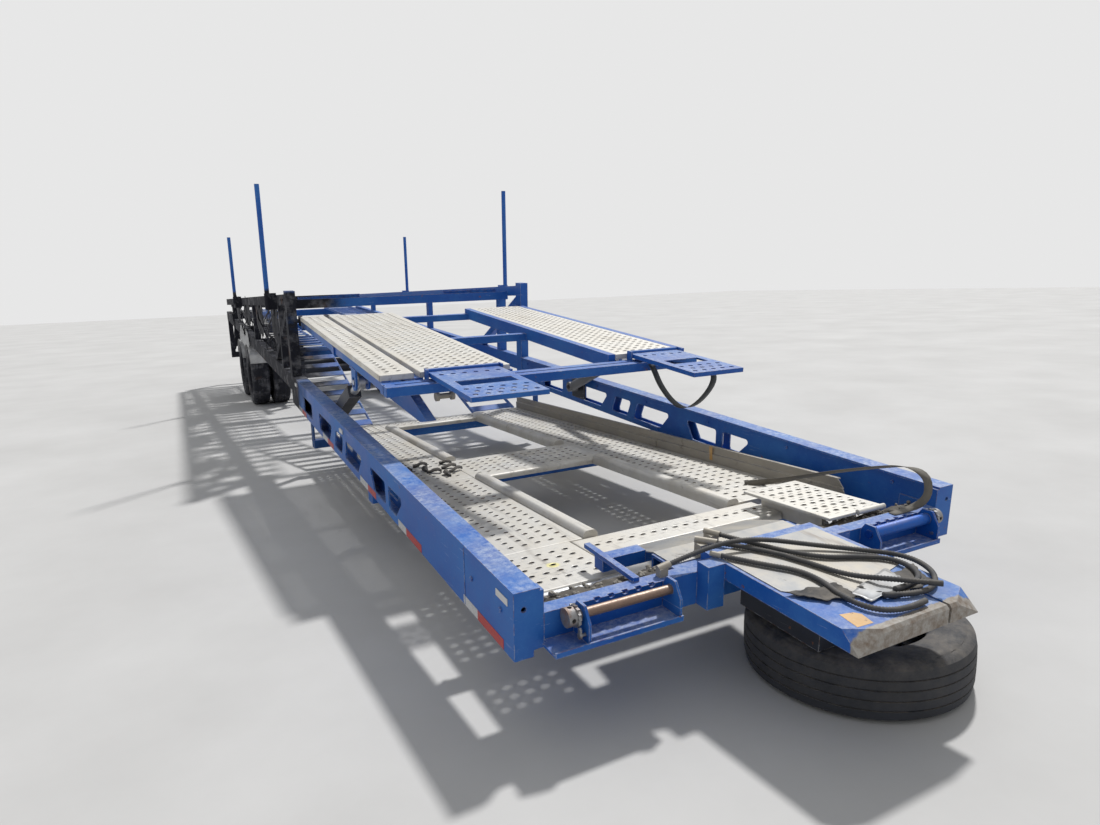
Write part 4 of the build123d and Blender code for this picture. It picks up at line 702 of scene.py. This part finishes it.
# Tyres: sidewall as a share of the half width and a height over the bead; then the tread's grooves
TYRE_HALF = 0.1275
BEAD = 0.286
WALL = ((0.70, 0.0), (0.86, 0.010), (0.93, 0.030), (0.925, 0.034), (0.97, 0.062), (1.0, 0.085),
        (0.985, 0.112), (0.955, 0.134), (0.935, 0.137), (0.93, 0.146))
WALL_RADIUS = 0.465        # of the tyre that the sidewall was drawn for
GROOVES = (-0.50, -0.17, 0.17, 0.50)
GROOVE_HALF = 0.030
GROOVE_DEPTH = 0.007
SHOULDER_CUT = 0.004
TYRE_SEGMENTS = 120


def tyre_profile(radius):
    """From bead to bead over the tread, with steps on the sidewalls and grooves in the tread."""
    rise = radius - WALL_RADIUS
    side = [(share * TYRE_HALF, BEAD + height + (rise if height > 0.1 else rise * height / 0.1))
            for share, height in WALL]
    left = [(-along, r) for along, r in side]
    tread = [(-0.88, radius - 0.020), (-0.80, radius - 0.008)]
    for groove in GROOVES:
        crown = radius - 0.006 * groove * groove
        tread += [(groove - GROOVE_HALF, crown), (groove - GROOVE_HALF * 0.6, crown - GROOVE_DEPTH),
                  (groove + GROOVE_HALF * 0.6, crown - GROOVE_DEPTH), (groove + GROOVE_HALF, crown)]
    tread += [(0.80, radius - 0.008), (0.88, radius - 0.020)]
    inside = [(0.60, BEAD + 0.012), (0.80, BEAD + 0.075), (0.80, radius - 0.075), (0.62, radius - 0.042),
              (-0.62, radius - 0.042), (-0.80, radius - 0.075), (-0.80, BEAD + 0.075), (-0.60, BEAD + 0.012)]
    return (left + [(share * TYRE_HALF, r) for share, r in tread] + list(reversed(side))
            + [(share * TYRE_HALF, r) for share, r in inside] + left[:1])


def add_tyres(name, body, node_name, radius, places, material):
    """Turned tyres with small cuts around their shoulders."""
    profile = tyre_profile(radius)

    def cut(row, i, r):
        shoulder = 0.84 < abs(profile[row][0]) / TYRE_HALF < 0.95 and r > radius - 0.05
        return r - SHOULDER_CUT if shoulder and i % 4 == 0 else r

    shape = Shape()
    for place in places:
        shape.lathe(profile, TYRE_SEGMENTS, place, cut)
    shape.make(name, body, "tyre", material, replaces=(node_name,), smooth=True, angle=38)


LYING_RADIUS = 0.4775
ROAD_RADIUS = 0.4645
STAND_AT = Matrix.Translation((0.250, -0.292 - CENTRE_Y, TYRE_HALF))
AXLES = {"front": 3.677416, "rear": 4.925124}
TYRE_X = (1.1575, 0.8545)
WHEEL_Z = 0.465
HUB_X = 1.126
HUB_CAP = ((0, 0.138), (0.018, 0.130), (0.02, 0.095), (0.052, 0.088), (0.060, 0.070), (0.062, 0.0005))
DISC_X = 1.018
NUTS = 10
NUT_CIRCLE = 0.168


def add_wheels(row, y, side_name, side):
    """Twin tyres, with the hub cap and the wheel nuts of the outer one."""
    wheel = f"{row}_{side_name}"
    places = [Matrix.Translation((side * x, y, WHEEL_Z)) @ Matrix.Rotation(radians(90), 4, "Y")
              for x in TYRE_X]
    add_tyres("road_tyres_" + wheel, "wheel_" + wheel, "tyres_" + wheel, ROAD_RADIUS, places,
              FINISHES["tyre"])
    trim = Shape()
    trim.lathe(HUB_CAP, 32, outward(side, HUB_X, y, WHEEL_Z))
    disc_face = outward(side, DISC_X, y, WHEEL_Z)
    for k in range(NUTS):
        angle = 2 * pi * k / NUTS
        spot = disc_face @ Matrix.Translation((NUT_CIRCLE * cos(angle), NUT_CIRCLE * sin(angle), 0))
        # The nut, then the end of its stud
        trim.hexagon(spot, 0.019, 0.026)
        trim.hexagon(spot, 0.012, 0.044, 8)
    trim.make("hub_trim_" + wheel, "wheel_" + wheel, "rim_steel", FINISHES["rim_steel"], smooth=True)


add_tyres("lying_tyre", "chassis", "stand_tyre", LYING_RADIUS, (STAND_AT,),
          rubber("lying_tyre", (0.022, 0.024, 0.030), 0.55, 0.8))
for row, y in AXLES.items():
    for side_name, side in SIDES:
        add_wheels(row, y, side_name, side)

# On the side rails' outer face: reflective tape, as start, end and colour; markers, seams and bolts
RAIL_FACE = 1.2952
RAIL_INSIDE = 1.2105
TAPE_FACE = 1.2964
TAPE_Z = (0.327, 0.371)
TAPES = ((0.097, 0.364, "red"), (0.364, 0.526, "white"), (1.125, 1.390, "red"), (1.390, 1.540, "white"),
         (2.030, 2.230, "red"), (2.230, 2.440, "white"), (3.300, 3.520, "red"), (3.520, 3.720, "white"),
         (4.500, 4.720, "red"), (4.720, 4.930, "white"))
for side_name, side in SIDES:
    for colour in ("red", "white"):
        tape = Shape()
        for start, end, kind in TAPES:
            if kind == colour:
                tape.box((side * RAIL_FACE, side * TAPE_FACE), (start, end), TAPE_Z, PARK)
        tape.make(f"tape_{colour}_{side_name}", "chassis", "blue_paint", EXTRA[f"tape_{colour}"])
markers = Shape()
for _, side in SIDES:
    markers.box((side * RAIL_FACE, side * 1.299), (0.050, 0.160), (0.535, 0.565), PARK)
    for y in (2.90, 4.90):
        markers.box((side * RAIL_FACE, side * 1.306), (y, y + 0.09), (0.545, 0.575), PARK)
markers.make("markers", "chassis", "bare_steel", EXTRA["pale_metal"], bevel=0.003)
seams = Shape()
for _, side in SIDES:
    seams.box((side * RAIL_FACE, side * 1.2975), (0.505, 0.511), (0.330, 0.596), PARK)
    for y in (0.12, 0.42):
        seams.hexagon(outward(side, RAIL_FACE, y, 0.49, PARK), 0.012, 0.008)
    for y in (0.30, 1.1, 1.9, 2.7, 3.5, 4.3, 5.0):
        seams.hexagon(outward(side, RAIL_INSIDE, y, 0.55, PARK, -90), 0.011, 0.008)
seams.make("rail_seams", "chassis", "blue_paint", FINISHES["blue_paint"], bevel=0.0008)

# Worn yellow paint: a patch on the tongue's cover and two strokes on the right kerb
COVER_PATCH = ((-0.262, -0.604), (-0.278, -0.698), (-0.201, -0.703), (-0.186, -0.640), (-0.204, -0.617))
COVER_TOP = 0.5477
KERB_FACE = 1.0600
STROKE = ((0, 0.020), (0.012, 0.020), (0.014, 0.120), (0.001, 0.120))
yellow = Shape()
yellow.add([PARK @ Vector((x, y, COVER_TOP)) for x, y in COVER_PATCH], [(0, 1, 2, 3, 4)])
for start in (1.655, 1.672):
    yellow.add([LOWER @ Vector((KERB_FACE, start + y, z)) for y, z in STROKE], [(0, 1, 2, 3)])
yellow.make("worn_patch", "chassis", "blue_paint", EXTRA["worn_yellow"])

# Torn sheets: faces along and across
SHEET_ROWS = 9
SHEET_COLUMNS = 14


def jagged(value, seed):
    """A repeatable value from -1 to 1."""
    return sin(value * 12.9898 + seed * 78.233) * cos(value * 37.719 + seed * 11.135)


def torn_sheet(name, slot, material, corners, wave, thick, ragged=0.012):
    """A thin crumpled sheet between four corners, with torn edges; gives the piece and its area."""
    a, b, c, d = (Vector(corner) for corner in corners)
    rows = []
    for i in range(SHEET_ROWS + 1):
        t = i / SHEET_ROWS
        row = []
        for k in range(SHEET_COLUMNS + 1):
            u = k / SHEET_COLUMNS
            point = a.lerp(b, u).lerp(d.lerp(c, u), t)
            rim = max(abs(2 * u - 1), abs(2 * t - 1)) ** 6
            out = (point - (a + b + c + d) / 4).normalized()
            point += out * (ragged * rim * jagged(3.1 * u + 5.7 * t, len(name)))
            lift = 0.5 + 0.5 * sin(9.0 * u + 4.0 * t + len(name)) * cos(5.0 * t - 3.0 * u)
            point += Vector((0, 0, 1)) * wave * (lift + rim * 0.8 * abs(jagged(u - t, 3)))
            row.append(PARK @ point)
        rows.append(row)
    sheet = Shape()
    sheet.loops(rows, closed=False)
    piece = sheet.make(name, "chassis", slot, material, smooth=True, thick=thick, angle=60)
    return piece, sum(polygon.area for polygon in piece.data.polygons)


for name, wave, corners in (
        ("torn_mat", 0.007, ((-0.330, -0.400, 0.5535), (-0.090, -0.440, 0.5535),
                             (-0.110, -0.560, 0.5535), (-0.250, -0.510, 0.5535))),
        ("torn_mat_front", 0.005, ((-0.040, -0.500, 0.5525), (0.330, -0.470, 0.5525),
                                   (0.270, -0.600, 0.5500), (0.020, -0.625, 0.5500)))):
    mat, area = torn_sheet(name, "tyre", EXTRA["torn_rubber"], corners, wave, 0.003)
torn_sheet("torn_plate", "deck_aluminium", EXTRA["bent_sheet"],
           ((-0.110, -0.520, 0.5545), (0.200, -0.440, 0.5545), (0.170, -0.580, 0.5540),
            (-0.090, -0.605, 0.5535)), 0.005, 0.0015, ragged=0.006)

# Dirt and stones caught in the two troughs of the front beam
DIRT_SLOPE = ((0.073, 0.455), (0.090, 0.474), (0.112, 0.480), (0.135, 0.480), (0.158, 0.474), (0.180, 0.462),
              (0.200, 0.440), (0.218, 0.415), (0.232, 0.392))
DIRT_COLUMNS = 60
STONES = 46                # in each trough
STONE_BED = 0.479
STONE_SIDES = 7
STONE_Y = (0.092, 0.170)
STONE_SIZE = (0.006, 0.015)
STONE_RINGS = ((-0.75, 0.45), (-0.25, 1.0), (0.35, 0.85), (0.7, 0.35))
picks = random.Random(7)


def add_dirt(shape, low, high):
    """A lumpy heap of dirt from one end of a trough to the other."""
    rows = []
    for i, (y, height) in enumerate(DIRT_SLOPE):
        row = []
        for k in range(DIRT_COLUMNS + 1):
            x = low + (high - low) * k / DIRT_COLUMNS
            lump = 0.007 * jagged(x * 2.1, i) + 0.006 * sin(31 * x) * cos(40 * y)
            row.append(PARK @ Vector((x, y, height + lump)))
        rows.append(row)
    shape.loops(rows, closed=False)


def add_stone(shape, low, high):
    """One stone somewhere in a trough."""
    x = picks.uniform(low + 0.02, high - 0.02)
    y = picks.uniform(*STONE_Y)
    size = picks.uniform(*STONE_SIZE)
    turn = Matrix.Rotation(picks.uniform(0, 3), 4, (picks.random(), picks.random(), 1))
    at = PARK @ Matrix.Translation((x, y, STONE_BED + size * 0.2)) @ turn
    rings = []
    for height, radius in STONE_RINGS:
        ring = []
        for k in range(STONE_SIDES):
            angle = 2 * pi * k / STONE_SIDES
            ring.append(at @ Vector((size * radius * picks.uniform(0.75, 1.15) * cos(angle),
                                     size * radius * picks.uniform(0.6, 1.1) * sin(angle), size * height)))
        rings.append(ring)
    shape.loops(rings, caps=True)


dirt = Shape()
stones = Shape()
for low, high in ((-1.185, -0.500), (0.355, 1.185)):
    add_dirt(dirt, low, high)
    for _ in range(STONES):
        add_stone(stones, low, high)

# Shards of rubber where the left track's planks meet
SHARDS = ((-0.75, 2.87), (-0.56, 2.84), (-0.57, 2.58), (-0.72, 2.62), (-0.75, 2.72), (-0.58, 2.70),
          (-0.90, 2.76), (-0.93, 2.62), (-0.66, 2.50))
SHARD_STEPS = 6
SHARD_LENGTH = 0.11
SHARD_SECTION = ((-1, 0), (0, -0.8), (1, 0), (0.4, 1.1), (-0.5, 0.9))
shards = Shape()
for x, y in SHARDS:
    at = LOWER @ Matrix.Translation((x, y, 0.004)) @ Matrix.Rotation(picks.uniform(0, 3), 4, "Z")
    rings = []
    for k in range(SHARD_STEPS + 1):
        t = k / SHARD_STEPS
        wide = 0.020 * sin(pi * (0.08 + 0.84 * t)) + 0.004
        bend = 0.012 * sin(4 * t + x * 9)
        rings.append([at @ Vector((wide * c + bend, SHARD_LENGTH * (t - 0.5),
                                   0.012 * d + 0.012 + 0.010 * sin(5 * t))) for c, d in SHARD_SECTION])
    shards.loops(rings, caps=True)
shards.make("joint_shards", "chassis", "tyre", EXTRA["torn_rubber"], smooth=True, angle=50)
dirt.make("trough_dirt", "chassis", "dark_steel", EXTRA["dirt"], smooth=True, angle=80)
stones.make("trough_stones", "chassis", "dark_steel", EXTRA["stone"])

# What the fire left at the left rear: a hanging panel, a melted sheet and bent strips
torn_sheet("burnt_panel", "dark_steel", EXTRA["burnt_metal"],
           ((-1.322, 11.60, 0.700), (-1.190, 11.62, 0.720), (-1.230, 11.64, 0.150), (-1.328, 11.60, 0.090)),
           0.012, 0.004, ragged=0.03)
torn_sheet("melted_sheet", "fender_plastic", EXTRA["melted_plastic"],
           ((-1.302, 10.50, 0.580), (-1.302, 9.30, 0.610), (-1.318, 9.10, 0.370), (-1.322, 10.42, 0.350)),
           0.030, 0.004, ragged=0.07)
# Loose skin below the upper rail: front, rear, top, bottom
SKINS = ((6.05, 6.75, 1.235, 0.80), (7.45, 8.35, 1.145, 0.74), (9.05, 10.05, 1.065, 0.70),
         (10.6, 11.4, 0.985, 0.66))
for number, (front, rear, top, bottom) in enumerate(SKINS):
    torn_sheet(f"burnt_skin_{number}", "dark_steel", EXTRA["burnt_metal"],
               ((-1.265, front, top), (-1.265, rear, top - 0.06), (-1.250, rear - 0.2, bottom - 0.1),
                (-1.255, front + 0.2, bottom)), 0.030, 0.004, ragged=0.13)
# Bent strips, each of which starts inside the upper rail, to hang from it
STRIPS = 16
STRIP_STEPS = 8
STRIP_Y = (5.7, 10.9)
STRIP_X = (-1.275, -1.225)
STRIP_TOP = (1.26, 1.31)
STRIP_LENGTH = (0.45, 0.75)
STRIP_WIDTH = (0.03, 0.09)
RAIL_FALL = 0.07           # of the upper rail, for each metre behind y = 6
strips = Shape()
for number in range(STRIPS):
    y = picks.uniform(*STRIP_Y)
    x = picks.uniform(*STRIP_X)
    top = picks.uniform(*STRIP_TOP) - RAIL_FALL * (y - 6.0)
    lean = picks.uniform(-0.5, 0.5)
    length = picks.uniform(*STRIP_LENGTH)
    path = []
    for k in range(STRIP_STEPS + 1):
        t = k / STRIP_STEPS
        path.append(PARK @ Vector((x + 0.04 * (sin(5 * t + number) - sin(number)),
                                   y + lean * t + 0.03 * sin(9 * t + 2 * number), top - length * t)))
    strips.ribbon(path, Vector((0.15, 1, 0.3)).normalized(), picks.uniform(*STRIP_WIDTH))
strips.make("burnt_strips", "chassis", "dark_steel", EXTRA["burnt_metal"], smooth=True, thick=0.004, angle=60)

# Straps
STRAP_STEPS = 60
STRAP_THICK = 0.0025


def add_strap(name, body, points, across, width, material):
    """A webbing strap on a smooth line; points and across are in the trailer's frame."""
    line = smooth_line(name, points)
    path, length = evenly(line, line_length(line) / STRAP_STEPS)
    direction = (PARK.to_3x3() @ Vector(across)).normalized()
    strap = Shape()
    strap.ribbon(path, direction, width)
    piece = strap.make(name, body, "hose_rubber", material, smooth=True, thick=STRAP_THICK)


add_strap("strap_loop", "mid_deck",
          ((0.770, 2.029, 1.010), (0.750, 1.960, 0.975), (0.752, 1.895, 0.885), (0.785, 1.800, 0.780),
           (0.840, 1.730, 0.727), (0.915, 1.670, 0.765), (1.005, 1.625, 0.890), (1.045, 1.650, 0.985),
           (1.010, 1.800, 1.022), (0.960, 1.950, 1.014), (0.950, 2.029, 1.006)),
          (1, 0, 0), 0.050, EXTRA["strap_black"])
add_strap("strap_rail", "chassis",
          ((0.840, 1.080, 0.3650), (0.950, 0.960, 0.395), (1.020, 0.780, 0.470), (1.050, 0.560, 0.560),
           (1.075, 0.330, 0.645), (1.085, 0.130, 0.712), (1.085, 0.015, 0.690), (1.075, -0.015, 0.610),
           (1.060, 0.000, 0.550), (1.000, 0.040, 0.5065), (0.880, 0.045, 0.5035)),
          (-0.6, 0.8, 0), 0.040, EXTRA["strap_grey"])

# The stage: floor, sky and sun
FLOOR_HALF = 60
SKY = (0.93, 0.96, 1.0, 1)
SKY_STRENGTH = 0.5
BACKDROP_STRENGTH = 1.0
SUN_STRENGTH = 3.0
SUN_ANGLE = radians(4)
SUN_TOWARDS = Vector((-0.62, -0.42, -1.0))


def add_floor():
    """A plain pale floor with a soft grain."""
    finish = Finish("floor", 0.9)
    grain = finish.patches(0.3, 0.7, 0.6, 6.0, 0.6)
    grey = finish.mix(grain, (0.50, 0.49, 0.475), (0.58, 0.57, 0.555))
    finish.tree.links.new(grey, finish.shader.inputs["Base Color"])
    mesh = bpy.data.meshes.new("floor")
    corners = [(x * FLOOR_HALF, y * FLOOR_HALF, 0) for x, y in ((-1, -1), (1, -1), (1, 1), (-1, 1))]
    mesh.from_pydata(corners, [], [(0, 1, 2, 3)])
    floor = bpy.data.objects.new("floor", mesh)
    floor.data.materials.append(finish.material)
    bpy.context.scene.collection.objects.link(floor)


def add_lights():
    """Soft light from all round with a low-contrast sun from the right rear."""
    world = bpy.data.worlds.new("world")
    world.use_nodes = True
    tree = world.node_tree
    back = tree.nodes["Background"]
    back.inputs["Color"].default_value = SKY
    back.inputs["Strength"].default_value = SKY_STRENGTH
    white = tree.nodes.new("ShaderNodeBackground")
    white.inputs["Strength"].default_value = BACKDROP_STRENGTH
    path = tree.nodes.new("ShaderNodeLightPath")
    seen = tree.nodes.new("ShaderNodeMath")
    seen.operation = "MAXIMUM"
    tree.links.new(path.outputs["Is Camera Ray"], seen.inputs[0])
    tree.links.new(path.outputs["Is Glossy Ray"], seen.inputs[1])
    mixed = tree.nodes.new("ShaderNodeMixShader")
    tree.links.new(seen.outputs[0], mixed.inputs[0])
    tree.links.new(back.outputs[0], mixed.inputs[1])
    tree.links.new(white.outputs[0], mixed.inputs[2])
    tree.links.new(mixed.outputs[0], tree.nodes["World Output"].inputs["Surface"])
    bpy.context.scene.world = world
    sun = bpy.data.lights.new("sun", "SUN")
    sun.energy = SUN_STRENGTH
    sun.angle = SUN_ANGLE
    lamp = bpy.data.objects.new("sun", sun)
    lamp.rotation_euler = SUN_TOWARDS.to_track_quat("-Z", "Y").to_euler()
    bpy.context.scene.collection.objects.link(lamp)


add_floor()
add_lights()
bpy.context.scene.view_settings.view_transform = "Standard"
